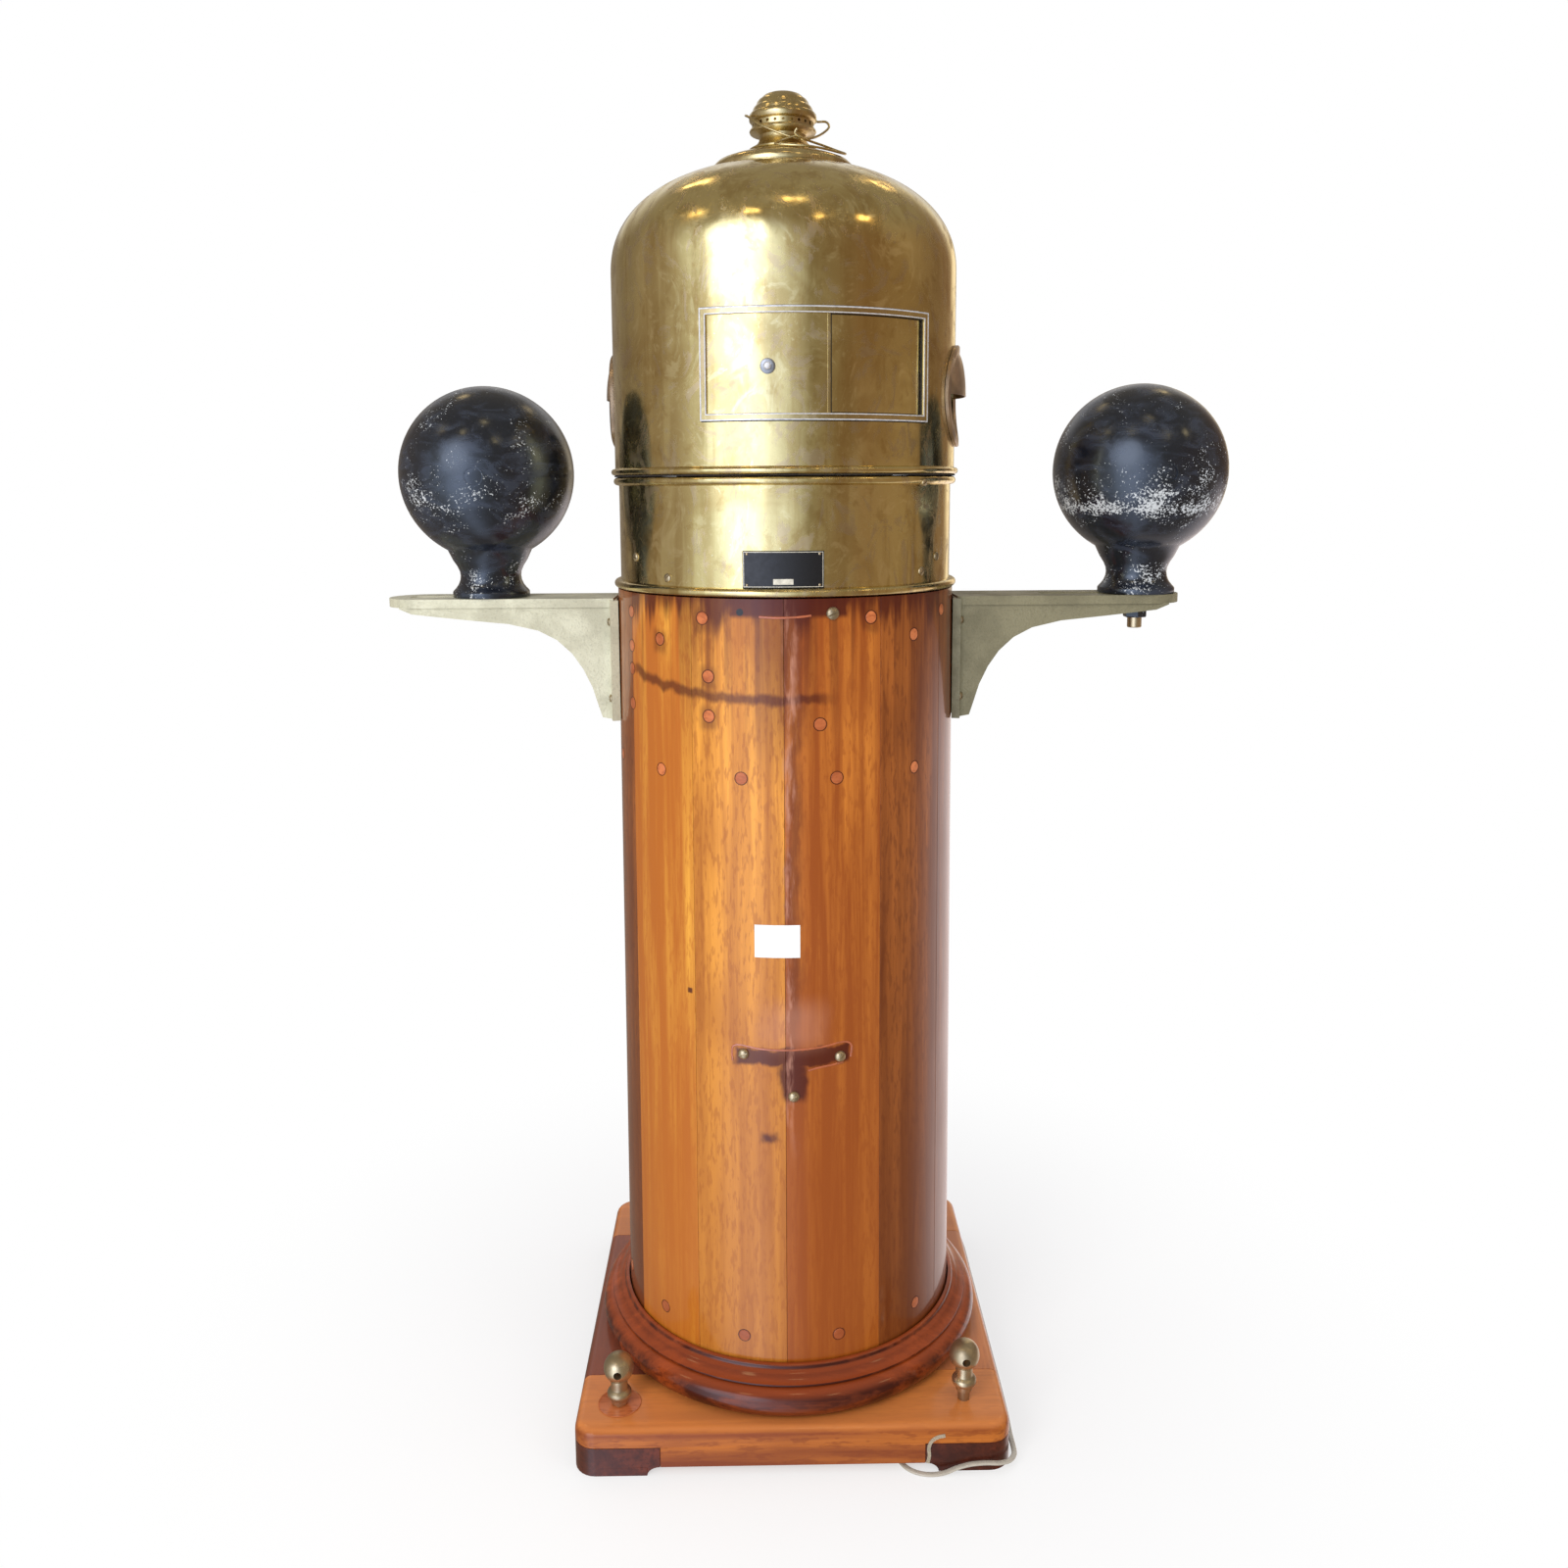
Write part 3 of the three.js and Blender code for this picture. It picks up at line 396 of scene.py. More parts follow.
def colour(red, green, blue):
    """A linear colour from 0-255 display values."""
    def linear(value):
        share = value / 255
        return share / 12.92 if share <= 0.04045 else ((share + 0.055) / 1.055) ** 2.4
    return (linear(red), linear(green), linear(blue), 1.0)
class Graph:
    """A material's node tree, grown by short calls. Vectors are object coordinates in metres."""

    def __init__(self, name, owner=None):
        self.owner = owner or bpy.data.materials.new(name)
        self.owner.use_nodes = True
        self.tree = self.owner.node_tree
        self.shader = self.tree.nodes.get("Principled BSDF")

    def feed(self, socket, value):
        """Link another socket to this one, or set it to a constant."""
        if isinstance(value, bpy.types.NodeSocket):
            self.tree.links.new(value, socket)
        else:
            socket.default_value = value

    def node(self, kind, inputs=(), **settings):
        made = self.tree.nodes.new("ShaderNode" + kind)
        for key, value in settings.items():
            setattr(made, key, value)
        for key, value in dict(inputs).items():
            self.feed(made.inputs[key], value)
        return made

    def coordinates(self, kind="Object"):
        return self.node("TexCoord").outputs[kind]

    def parts(self, kind="Object"):
        """The X, Y and Z sockets of a coordinate."""
        return self.node("SeparateXYZ", {0: self.coordinates(kind)}).outputs

    def math(self, operation, first, second=0.0):
        return self.node("Math", {0: first, 1: second}, operation=operation).outputs[0]

    def plus(self, first, second):
        return self.math("ADD", first, second)

    def minus(self, first, second):
        return self.math("SUBTRACT", first, second)

    def times(self, first, second):
        return self.math("MULTIPLY", first, second)

    def most(self, first, second):
        return self.math("MAXIMUM", first, second)

    def noise(self, stretch, detail=4.0, roughness=0.55, distortion=0.0, shift=(0, 0, 0)):
        """Noise with its own scale along each axis."""
        place = {"Vector": self.coordinates(), "Scale": stretch, "Location": shift}
        inputs = {
            "Vector": self.node("Mapping", place).outputs["Vector"], "Scale": 1.0,
            "Detail": detail, "Roughness": roughness, "Distortion": distortion,
        }
        return self.node("TexNoise", inputs).outputs["Fac"]

    def ease(self, value, low, high, start=0.0, stop=1.0):
        """Pass smoothly from start to stop as the value goes from low to high."""
        inputs = {"Value": value, "From Min": low, "From Max": high, "To Min": start, "To Max": stop}
        return self.node("MapRange", inputs, interpolation_type="SMOOTHSTEP").outputs["Result"]

    def ramp(self, value, stops):
        made = self.node("ValToRGB", {"Fac": value})
        elements = made.color_ramp.elements
        while len(elements) < len(stops):
            elements.new(0.5)
        for element, (position, shade) in zip(elements, stops):
            element.position = position
            element.color = shade
        return made.outputs["Color"]

    def mix(self, factor, first, second):
        return self.node("Mix", {0: factor, 6: first, 7: second}, data_type="RGBA").outputs[2]

    def bump(self, height, strength, distance, normal=None):
        inputs = {"Height": height, "Strength": strength, "Distance": distance}
        if normal:
            inputs["Normal"] = normal
        return self.node("Bump", inputs).outputs["Normal"]

    def turn(self, parts):
        """The azimuth in radians."""
        return self.math("ARCTAN2", parts["X"], self.times(parts["Y"], -1.0))

    def polar(self):
        """Sockets for the azimuth in degrees and the height in millimetres."""
        parts = self.parts()
        return self.math("DEGREES", self.turn(parts)), self.times(parts["Z"], 1 / MM)

    def patch(self, value, middle, half, soft):
        """1 where the value is within half of the middle, easing to 0 over soft."""
        off = self.math("ABSOLUTE", self.minus(value, middle))
        return self.ease(off, half - soft, half + soft, 1.0, 0.0)

    def spot(self, azimuth, elevation, outside, inside):
        """1 towards a direction, easing to 0 between two angles off it, in degrees."""
        rise = math.radians(elevation)
        aim = around(azimuth, math.cos(rise), math.sin(rise))
        inputs = {0: self.coordinates("Generated"), 1: aim}
        toward = self.node("VectorMath", inputs, operation="DOT_PRODUCT").outputs["Value"]
        return self.ease(toward, math.cos(math.radians(outside)), math.cos(math.radians(inside)))

    def finish(self, **inputs):
        for key, value in inputs.items():
            self.feed(self.shader.inputs[key.replace("_", " ")], value)
        return self.owner


def scaled(tone, *shares):
    """A colour with its channels multiplied, by one share or by one each."""
    shares = shares * 3 if len(shares) == 1 else shares
    return [c * share for c, share in zip(tone[:3], shares)] + [1.0]


def wood(name, dark, light, seed, along="z", gloss=0.1, painted_top_light=None, marks=None):
    """Varnished hardwood: long grain, pores, short ray flecks, and a clear coat; faces that look upwards can
    be painted lighter as light and sheen from above.
    """
    g = Graph(name)
    dark, light = colour(*dark), colour(*light)
    stretch = {"x": (3, 70, 70), "y": (70, 3, 70), "z": (70, 70, 3)}[along]
    shift = (seed * 1.7, seed * 0.9, seed * 2.3)
    grain = g.noise(stretch, 6.0, 0.62, 0.35, shift)
    broad = g.noise([s * 0.16 for s in stretch], 3.0, 0.5, 0.4, shift)
    fleck = g.noise([260 if s > 10 else 60 for s in stretch], 2.0, 0.6, shift=shift)
    cloud = g.noise((5, 5, 5), 2.0, 0.5, shift=shift)
    smear = g.noise((9, 9, 4), 3.0, 0.6, shift=shift)
    figure = g.plus(g.times(grain, 0.55), g.times(broad, 0.45))
    between = [(a + b) / 2 for a, b in zip(dark, light)]
    tone = g.ramp(figure, [(0.40, dark), (0.51, between), (0.60, light)])
    tone = g.mix(g.ease(fleck, 0.50, 0.64, 0.0, 0.5), tone, dark)
    tone = g.mix(g.ease(cloud, 0.46, 0.68, 0.0, 0.5), tone, dark)
    # painted light: faces that look upwards are painted towards a lighter tone, as light and sheen falling
    # from above
    if painted_top_light:
        upward = g.node("SeparateXYZ", {0: g.node("NewGeometry").outputs["Normal"]}).outputs["Z"]
        tone = g.mix(g.ease(upward, 0.35, 0.95, 0.0, 0.5), tone, colour(*painted_top_light))
    if along == "z":
        tone = g.mix(g.ease(g.polar()[1], 150, 760, 0.62, 0.0), tone, dark)
    if marks:
        tone = marks(g, tone)
    return g.finish(
        Base_Color=tone, Roughness=g.ease(smear, 0.35, 0.7, 0.35, 0.5),
        Normal=g.bump(grain, 0.12, 0.0006), Specular_IOR_Level=0.15,
        Coat_Weight=0.7, Coat_Roughness=gloss, Coat_IOR=1.45,
    )


STAIN = colour(74, 20, 8)
# pale tone for the streak down the front: partly a real pale varnish drip, partly a painted highlight
PALE_DRIP_AND_SHEEN = colour(206, 150, 128)
HALOED_BUNGS = [(-27.6, 843), (26.6, 843), (-44.9, 820), (-25.7, 788), (-25.6, 750)]


def column_marks(g, tone):
    """Old stains: a dark patch under the housing, a T-shaped ghost of a fitting, runs of varnish; and a pale
    streak down the front with a pale halo above the T, partly a real varnish drip and partly a painted
    highlight.
    """
    azimuth, height = g.polar()
    ragged = g.minus(g.noise((60, 60, 30), 3.0), 0.5)
    side = g.plus(azimuth, g.times(ragged, 7.0))
    level = g.plus(height, g.times(ragged, 16.0))

    def spot(across, up):
        """A mark from two patches, each a value, its middle, its half width and its softness."""
        return g.times(g.patch(*across), g.patch(*up))

    def lay_tone(share, strength, shade=STAIN):
        return g.mix(g.times(share, strength), tone, shade)

    recess = spot((side, 0, 18.5, 1.0), (height, 855, 10, 3))
    bar = spot((side, 0.5, 18, 1.2), (level, 416, 9, 2.5))
    stem = spot((side, 0.8, 4.5, 1.5), (level, 396, 24, 5))
    dot = spot((azimuth, -33.8, 0.9, 0.3), (height, 474, 2.6, 1))
    knot = spot((side, -6.9, 2.2, 1.6), (level, 333, 5, 4))
    run = spot((side, 1.5, 2.2, 1.8), (height, 640, 230, 60))
    wide_run = spot((side, -4, 7, 5), (level, 800, 75, 60))
    sag = g.plus(g.times(g.times(azimuth, azimuth), 0.006), 766)
    line_off = g.math("ABSOLUTE", g.minus(level, sag))
    line = g.times(g.ease(line_off, 1.5, 7, 1.0, 0.0), g.patch(azimuth, -24, 36, 4))
    runs = g.noise((55, 55, 3), 4.0, 0.6)
    crown = g.ease(g.plus(height, g.ease(runs, 0.35, 0.7, -6, 26)), 840, 868)
    tone = lay_tone(crown, 0.9)
    drips = g.noise((80, 80, 1.6), 3.0)
    tone = lay_tone(g.times(g.ease(drips, 0.5, 0.62), g.ease(height, 690, 850)), 0.5)
    for where, bung in HALOED_BUNGS:
        tone = lay_tone(spot((azimuth, where, 3.0, 1.2), (level, bung - 2, 11, 5)), 0.45)
    tone = lay_tone(g.most(run, wide_run), 0.5)
    tone = lay_tone(line, 0.75)
    tone = lay_tone(g.most(g.most(recess, bar), g.most(stem, g.most(dot, knot))), 0.92)
    # painted highlight: a pale streak down the front and a pale halo above the T, partly a real varnish drip
    # and partly the window's highlight on the coat
    pale = spot((side, 0.2, 1.2, 1.4), (height, 600, 250, 60))
    pale = g.times(pale, g.ease(g.noise((90, 90, 14), 4.0, 0.7), 0.42, 0.6))
    halo = spot((side, 1, 9, 6), (height, 448, 22, 14))
    return lay_tone(g.most(pale, g.times(halo, 0.5)), 0.55, PALE_DRIP_AND_SHEEN)


def brass(name, tone, rough=0.12, tarnish=1.0, wave=0.45, specked=0.5):
    """Old polished sheet brass: uneven lacquer, smudges, brown spots, a rippled surface."""
    g = Graph(name)
    wipe = g.noise((24, 24, 17), 4.0, 0.7, 2.5, (5, 9, 2))
    smudge = g.noise((15, 15, 15), 3.0, 0.7, 2.0, (3, 1, 7))
    brown = scaled(tone, 0.60, 0.48, 0.34)
    shade = tone
    for noise, low, high, share in (
        (g.noise((8, 8, 7), 4.0, 0.6, 0.8), 0.44, 0.62, 0.55),
        (g.noise((44, 44, 34), 4.0, 0.65, 0.5), 0.54, 0.66, 0.42),
        (g.noise((34, 34, 2.4), 4.0, 0.65), 0.50, 0.62, 0.42),
    ):
        shade = g.mix(g.ease(noise, low, high, 0.0, share * tarnish), shade, brown)
    shade = g.mix(g.ease(wipe, 0.53, 0.64, 0.0, 0.5 * tarnish), shade, (0.56, 0.44, 0.32, 1))
    shade = g.mix(g.ease(wipe, 0.34, 0.46, 0.45 * tarnish, 0.0), shade, (0.98, 0.86, 0.50, 1))
    specks = g.ease(g.noise((300, 300, 300), 2.0, 0.6), 0.70, 0.74, 0.0, specked)
    shade = g.mix(specks, shade, (0.9, 0.86, 0.62, 1))
    dull = g.ease(smudge, 0.45, 0.62, rough, rough + 0.10)
    dull = g.plus(dull, g.ease(wipe, 0.5, 0.64, 0.0, 0.18))
    normal = g.bump(g.noise((15, 15, 5), 2.0, 0.45), wave, 0.008)
    normal = g.bump(g.noise((420, 420, 40), 2.0, 0.7), 0.04, 0.0003, normal)
    return g.finish(Base_Color=shade, Metallic=1.0, Roughness=dull, Normal=normal)


def rough_metal(name, tone, rough, grain, depth, metallic=0.9, mottle=0.7):
    """Cast or tarnished metal with a fine skin."""
    g = Graph(name)
    skin = g.noise((grain, grain, grain), 3.0, 0.6)
    cloud = g.noise((26, 26, 26), 4.0, 0.6, 0.4)
    deep = scaled(tone, 0.5)
    shade = g.mix(g.ease(cloud, 0.38, 0.68, 0.0, mottle), tone, deep)
    shade = g.mix(g.ease(skin, 0.52, 0.7, 0.0, 0.35), shade, deep)
    return g.finish(
        Base_Color=shade, Metallic=metallic, Normal=g.bump(skin, depth, 0.0006),
        Roughness=g.ease(cloud, 0.3, 0.7, rough - 0.08, rough + 0.12),
    )


def black_iron(name, wear):
    """Worn blue-black paint on cast iron: chips in a band below the middle, scuffs, a soft shine."""
    g = Graph(name)
    _, height = g.polar()
    chips = g.noise((420, 420, 470), 4.0, 0.7)
    where = g.noise((26, 26, 34), 3.0, 0.65)
    chance = g.ease(where, 0.42, 0.7, -0.04, 0.11)
    for middle, half, soft, share in (
        (SPHERE_HEIGHT - 24, 24, 20, 0.035 + 0.075 * wear),  # the band
        (SPHERE_HEIGHT - 38, 5, 5, 0.10 * wear),  # the line along its foot
        (ARM_TOP + 16, 15, 8, 0.05 + 0.03 * wear),  # the neck
    ):
        chance = g.plus(chance, g.times(g.patch(height, middle, half, soft), share))
    worn = g.ease(g.plus(chips, chance), 0.69, 0.72)
    scuff = g.noise((30, 30, 60), 4.0, 0.65, 1.0)
    paint = g.mix(g.ease(scuff, 0.4, 0.72), colour(20, 22, 30), colour(44, 50, 64))
    normal = g.bump(g.noise((42, 42, 42), 3.0, 0.5), 0.12, 0.003)
    return g.finish(
        Base_Color=g.mix(worn, paint, colour(196, 200, 204)),
        Roughness=g.ease(scuff, 0.35, 0.7, 0.17, 0.32),
        Normal=g.bump(worn, -0.3, 0.0003, normal),
        Specular_IOR_Level=0.8, Specular_Tint=(0.80, 0.90, 1.0, 1),
    )


def plain(name, tone, rough, metallic=0.0, speck=0.12, scale=180.0, **inputs):
    """A moulded or painted surface with a faint mottle."""
    g = Graph(name)
    tone = colour(*tone)
    mottle = g.noise((scale, scale, scale), 3.0, 0.6)
    return g.finish(
        Base_Color=g.mix(g.ease(mottle, 0.35, 0.7), tone, scaled(tone, 1 - 2.4 * speck)),
        Roughness=g.ease(mottle, 0.3, 0.7, rough - 0.05, rough + 0.08),
        Normal=g.bump(mottle, 0.06, 0.0004), Metallic=metallic, **inputs,
    )


STAVE_TONES = [  # dark and light, in the order of STAVE_EDGES
    ((110, 50, 16), (176, 100, 38)), ((124, 58, 18), (190, 110, 40)),
    ((96, 44, 16), (158, 88, 32)), ((176, 98, 28), (240, 176, 66)),
    ((156, 86, 24), (230, 156, 58)), ((146, 72, 20), (218, 134, 48)),
    ((104, 48, 14), (168, 94, 34)), ((96, 44, 16), (150, 80, 30)),
    ((124, 58, 18), (184, 106, 38)), ((112, 52, 16), (172, 96, 36)),
]
MARKED_STAVES = (3, 4, 5, 6)  # the ones in front, which carry the old stains and the painted highlight streak
WOODS = [  # material, slot, dark and light tones, seed, grain, gloss, tone painted on up-facing faces as light from above
    ("stave_wood_back", "stave_wood", (116, 54, 16), (180, 102, 38), 14),
    ("light_board", "light_board", (124, 54, 12), (190, 108, 36), 21, "x", 0.1, (236, 150, 84)),
    ("dark_board", "dark_board", (58, 20, 9), (104, 44, 24), 22, "y"),
    ("board_left", "dark_board", (76, 26, 12), (134, 60, 30), 23, "y", 0.1, (150, 84, 62)),
    ("board_right", "dark_board", (132, 56, 18), (200, 112, 44), 27, "y", 0.1, (214, 140, 90)),
    ("moulding", "moulding", (60, 16, 6), (150, 66, 24), 24, "x", 0.06, (176, 80, 36)),
    ("inner_wood", "inner_wood", (86, 48, 26), (140, 88, 50), 25, "x", 0.4),
    ("bung", "stave_wood", (150, 74, 36), (208, 120, 70), 26, "x"),
]
METALS = [  # material, slot, tone, roughness, grain, depth, metallic, mottle
    ("old_brass", "old_brass", (0.58, 0.47, 0.30, 1), 0.30, 380, 0.12),
    # one cast metal in two tones: the left bracket is painted paler as lit by the window, the right one
    # painted darker as in shade
    ("cast_bracket_left", "cast_bracket", (0.66, 0.64, 0.48, 1), 0.5, 420, 0.8, 0.3, 0.4),
    ("cast_bracket_right", "cast_bracket", (0.27, 0.245, 0.15, 1), 0.5, 420, 0.8, 0.3, 0.4),
    ("vent_brass", "polished_brass", (0.56, 0.42, 0.30, 1), 0.34, 300, 0.1),
    ("steel", "steel", (0.45, 0.46, 0.48, 1), 0.35, 300, 0.1, 1.0),
]
PLAIN = [  # material, slot, tone, roughness, metallic, speck, scale
    ("felt", "felt", (48, 42, 38), 0.95, 0.0, 0.2, 900.0),
    ("nameplate_black", "nameplate", (20, 20, 24), 0.32, 0.0, 0.2),
    # black: the nameplate's own colour, also used for strips painted as shade by the shutter and in an empty
    # screw hole
    ("nameplate_line", "nameplate", (222, 216, 200), 0.35, 0.2),
    # pale metal for the shutter knob, also used for the highlight lines painted along the shutter rails'
    # edges
    ("bright_edge", "polished_brass", (212, 211, 214), 0.3, 0.35),
    ("card", "card", (228, 222, 200), 0.6),
    ("card_ink", "card", (26, 26, 30), 0.6),
    ("paper", "stave_wood", (238, 242, 244), 0.55, 0.0, 0.03),
    ("bakelite", "lamp_plastic", (40, 30, 24), 0.3),
    ("gland_rubber", "gland_rubber", (44, 40, 38), 0.6),
    ("plug_plastic", "plug_plastic", (52, 44, 40), 0.4),
]
CLEAR = [  # material, slot, tone, roughness, speck, transmission, index of refraction
    ("clear_glass", "clear_glass", (236, 244, 240), 0.06, 0.01, 1.0, 1.5),
    ("bulb_glass", "clear_glass", (250, 246, 232), 0.08, 0.01, 0.9, 1.45),
    ("cord_jacket", "cord_jacket", (206, 198, 184), 0.22, 0.06, 0.25, 1.5),
    ("strap", "cord_jacket", (214, 200, 176), 0.25, 0.05, 0.5, 1.45),
]


def make_finishes():
    """Every finish as (material, the record's slot), by the material's name."""
    made = {
        "polished_brass": (brass("polished_brass", (0.82, 0.69, 0.34, 1)), "polished_brass"),
        "trim_brass": (
            brass("trim_brass", (0.72, 0.60, 0.32, 1), 0.18, 0.7, 0.1, 0.0), "polished_brass",
        ),
        "varnish_ridge": (
            plain("varnish_ridge", (176, 96, 62), 0.08, speck=0.1, Coat_Weight=1.0), "stave_wood",
        ),
    }
    for number, tones in enumerate(STAVE_TONES):
        marks = column_marks if number in MARKED_STAVES else None
        name = f"stave_wood_{number}"
        made[name] = (wood(name, *tones, number + 1, marks=marks), "stave_wood")
    for kind, rows in ((wood, WOODS), (rough_metal, METALS), (plain, PLAIN)):
        for name, slot, *values in rows:
            made[name] = (kind(name, *values), slot)
    for name, slot, tone, rough, speck, share, index in CLEAR:
        looks = {"speck": speck, "Transmission_Weight": share, "IOR": index}
        made[name] = (plain(name, tone, rough, **looks), slot)
    for side, wear in (("left", 0.2), ("right", 1.0)):
        made[f"black_iron_{side}"] = (black_iron(f"black_iron_{side}", wear), "black_iron")
    return made


# ---- Camera, lights and floor ----

def build_camera():
    data = bpy.data.cameras.new("camera")
    data.sensor_width = 36.0
    data.lens = CAMERA_LENS
    data.shift_y = CAMERA_SHIFT
    data.clip_end = 50.0
    camera = bpy.data.objects.new("camera", data)
    camera.rotation_mode = "QUATERNION"
    pan = Matrix.Rotation(math.radians(CAMERA_PAN), 3, "Z")
    tilt = Matrix.Rotation(math.radians(CAMERA_TILT), 3, "X")
    roll = Matrix.Rotation(math.radians(CAMERA_ROLL), 3, "Z")
    camera.rotation_quaternion = (pan @ tilt @ roll).to_quaternion()
    camera.location = CAMERA_PLACE
    bpy.context.collection.objects.link(camera)
    bpy.context.scene.camera = camera


def area_light(name, place, target, width, height, power, tone):
    data = bpy.data.lights.new(name, "AREA")
    data.shape = "RECTANGLE"
    data.size = width
    data.size_y = height
    data.energy = power
    data.color = tone
    light = bpy.data.objects.new(name, data)
    light.location = place
    light.rotation_mode = "QUATERNION"
    light.rotation_quaternion = (Vector(target) - Vector(place)).to_track_quat("-Z", "Y")
    light.visible_glossy = False
    bpy.context.collection.objects.link(light)


def build_room():
    """A white room: even light on dull surfaces, and windows and lamps for the brass to mirror."""
    world = bpy.data.worlds.new("room")
    bpy.context.scene.world = world
    world.use_nodes = True
    g = Graph("room", world)
    g.tree.nodes.clear()
    parts = g.parts("Generated")
    upward = parts["Z"]
    share = g.plus(g.math("DIVIDE", g.turn(parts), math.tau), 0.5)
    walls = [  # azimuth seen from the pillar, and the colour there
        (-180, (0.30, 0.26, 0.22)), (-128, (0.22, 0.18, 0.14)), (-104, (0.32, 0.26, 0.20)),
        (-80, (0.42, 0.37, 0.32)), (-64, (0.66, 0.66, 0.64)), (-52, (0.88, 0.94, 1.0)),
        (-40, (1.7, 1.9, 2.3)), (-20, (2.1, 2.3, 2.8)), (-10, (1.2, 1.35, 1.7)),
        (3, (0.72, 0.76, 0.82)), (16, (0.30, 0.27, 0.21)), (50, (0.28, 0.19, 0.12)), (85, (0.32, 0.23, 0.14)),
        (118, (0.20, 0.13, 0.08)), (142, (0.30, 0.2, 0.13)), (155, (1.3, 1.1, 0.8)),
        (167, (0.35, 0.28, 0.2)), (180, (0.30, 0.26, 0.22)),
    ]
    stops = [((azimuth + 180) / 360, (*tone, 1)) for azimuth, tone in walls]
    mirrored = g.ramp(share, stops)
    mirrored = g.mix(g.ease(upward, 0.25, 0.75), mirrored, (0.29, 0.25, 0.19, 1))
    low = g.ease(upward, -0.2, -0.06, 1.0, 0.0)
    hall = g.times(g.ease(share, 0.74, 0.85), g.ease(share, 0.95, 1.0, 1.0, 0.0))
    mirrored = g.mix(g.times(low, hall), mirrored, (1.25, 1.08, 1.04, 1))
    mirrored = g.mix(g.ease(upward, -0.85, -0.4, 0.6, 0.0), mirrored, (0.30, 0.26, 0.22, 1))
    behind = g.math("ABSOLUTE", g.minus(share, 0.5))
    sky = g.times(g.ease(behind, 0.36, 0.46), g.ease(upward, 0.2, 0.35))
    sky = g.times(sky, g.ease(upward, 0.45, 0.75, 1.0, 0.0))
    mirrored = g.mix(sky, mirrored, (0.75, 0.72, 0.70, 1))
    lamps = ((28, 44), (-32, 52), (62, 40), (8, 70), (-75, 46), (150, 45), (-150, 50))
    for azimuth, elevation in lamps:
        mirrored = g.mix(g.spot(azimuth, elevation, 4.0, 1.5), mirrored, (5.0, 3.7, 1.9, 1))
    mirrored = g.mix(g.spot(-33, 22, 24, 8), mirrored, (3.0, 3.2, 3.8, 1))  # the window
    rays = g.node("LightPath").outputs
    seen = g.mix(rays["Is Glossy Ray"], (0.80, 0.80, 0.82, 1), mirrored)
    seen = g.mix(rays["Is Camera Ray"], seen, (1.0, 1.0, 1.0, 1))
    background = g.node("Background", {"Color": seen, "Strength": 1.0})
    output = g.node("OutputWorld")
    g.tree.links.new(background.outputs[0], output.inputs[0])

    area_light("window_light", (-1.5, -2.2, 1.6), (0, 0, 0.75), 1.2, 2.0, 42, (1.0, 0.97, 0.92))
    area_light("fill_light", (2.0, -1.6, 2.0), (0, 0, 0.7), 1.0, 1.6, 9, (1.0, 0.98, 0.95))


def build_floor():
    """A white floor that takes a soft shadow near the base and none far from it."""
    g = Graph("floor")
    parts = g.parts()
    reach = g.math("SQRT", g.plus(g.math("POWER", parts["X"], 2.0), g.math("POWER", parts["Y"], 2.0)))
    g.finish(Base_Color=(0.93, 0.93, 0.93, 1), Roughness=0.8, Specular_IOR_Level=0.1)
    white = g.node("Emission", {"Color": (1, 1, 1, 1), "Strength": 1.0})
    glow = g.ease(reach, 0.2, 0.8, 0.58, 1.0)
    blend = g.node("MixShader", {0: glow, 1: g.shader.outputs[0], 2: white.outputs[0]})
    g.tree.links.new(blend.outputs[0], g.tree.nodes["Material Output"].inputs[0])
    mesh = bpy.data.meshes.new("floor")
    points = [around(6 * i, 9.0) for i in range(60)]
    mesh.from_pydata(points, [], [list(range(60))])
    mesh.materials.append(g.owner)
    floor = bpy.data.objects.new("floor", mesh)
    bpy.context.collection.objects.link(floor)
    floor.visible_glossy = False


# ---- The lead ----

def coil_path():
    """Two turns side by side, three high, stopping part way round the top turn; build_lead adds the climb up
    and round into the plug.
    """
    half = LEAD_WIDTH / 2
    outside, inside = COIL_RADIUS + half, COIL_RADIUS - half
    turns = [outside, inside, inside, outside, outside, inside]
    lifts = [0, 0, 1, 1, 2, 2]
    steps = 24
    change = 5  # steps over which the lead passes from one turn to the next
    points = []
    for turn, (radius, lift) in enumerate(zip(turns, lifts)):
        later = min(turn + 1, len(turns) - 1)
        for step in range(steps):
            if turn == len(turns) - 1 and step > steps * 0.45:
                break
            share = max(0.0, (step - steps + change) / change)
            share = share * share * (3 - 2 * share)
            r = radius + (turns[later] - radius) * share
            z = COIL_BOTTOM + LEAD_WIDTH * (lift + (lifts[later] - lift) * share)
            azimuth = -360 * step / steps
            points.append(around(azimuth, r, z) + Vector((*COIL_CENTRE, 0)))
    return points


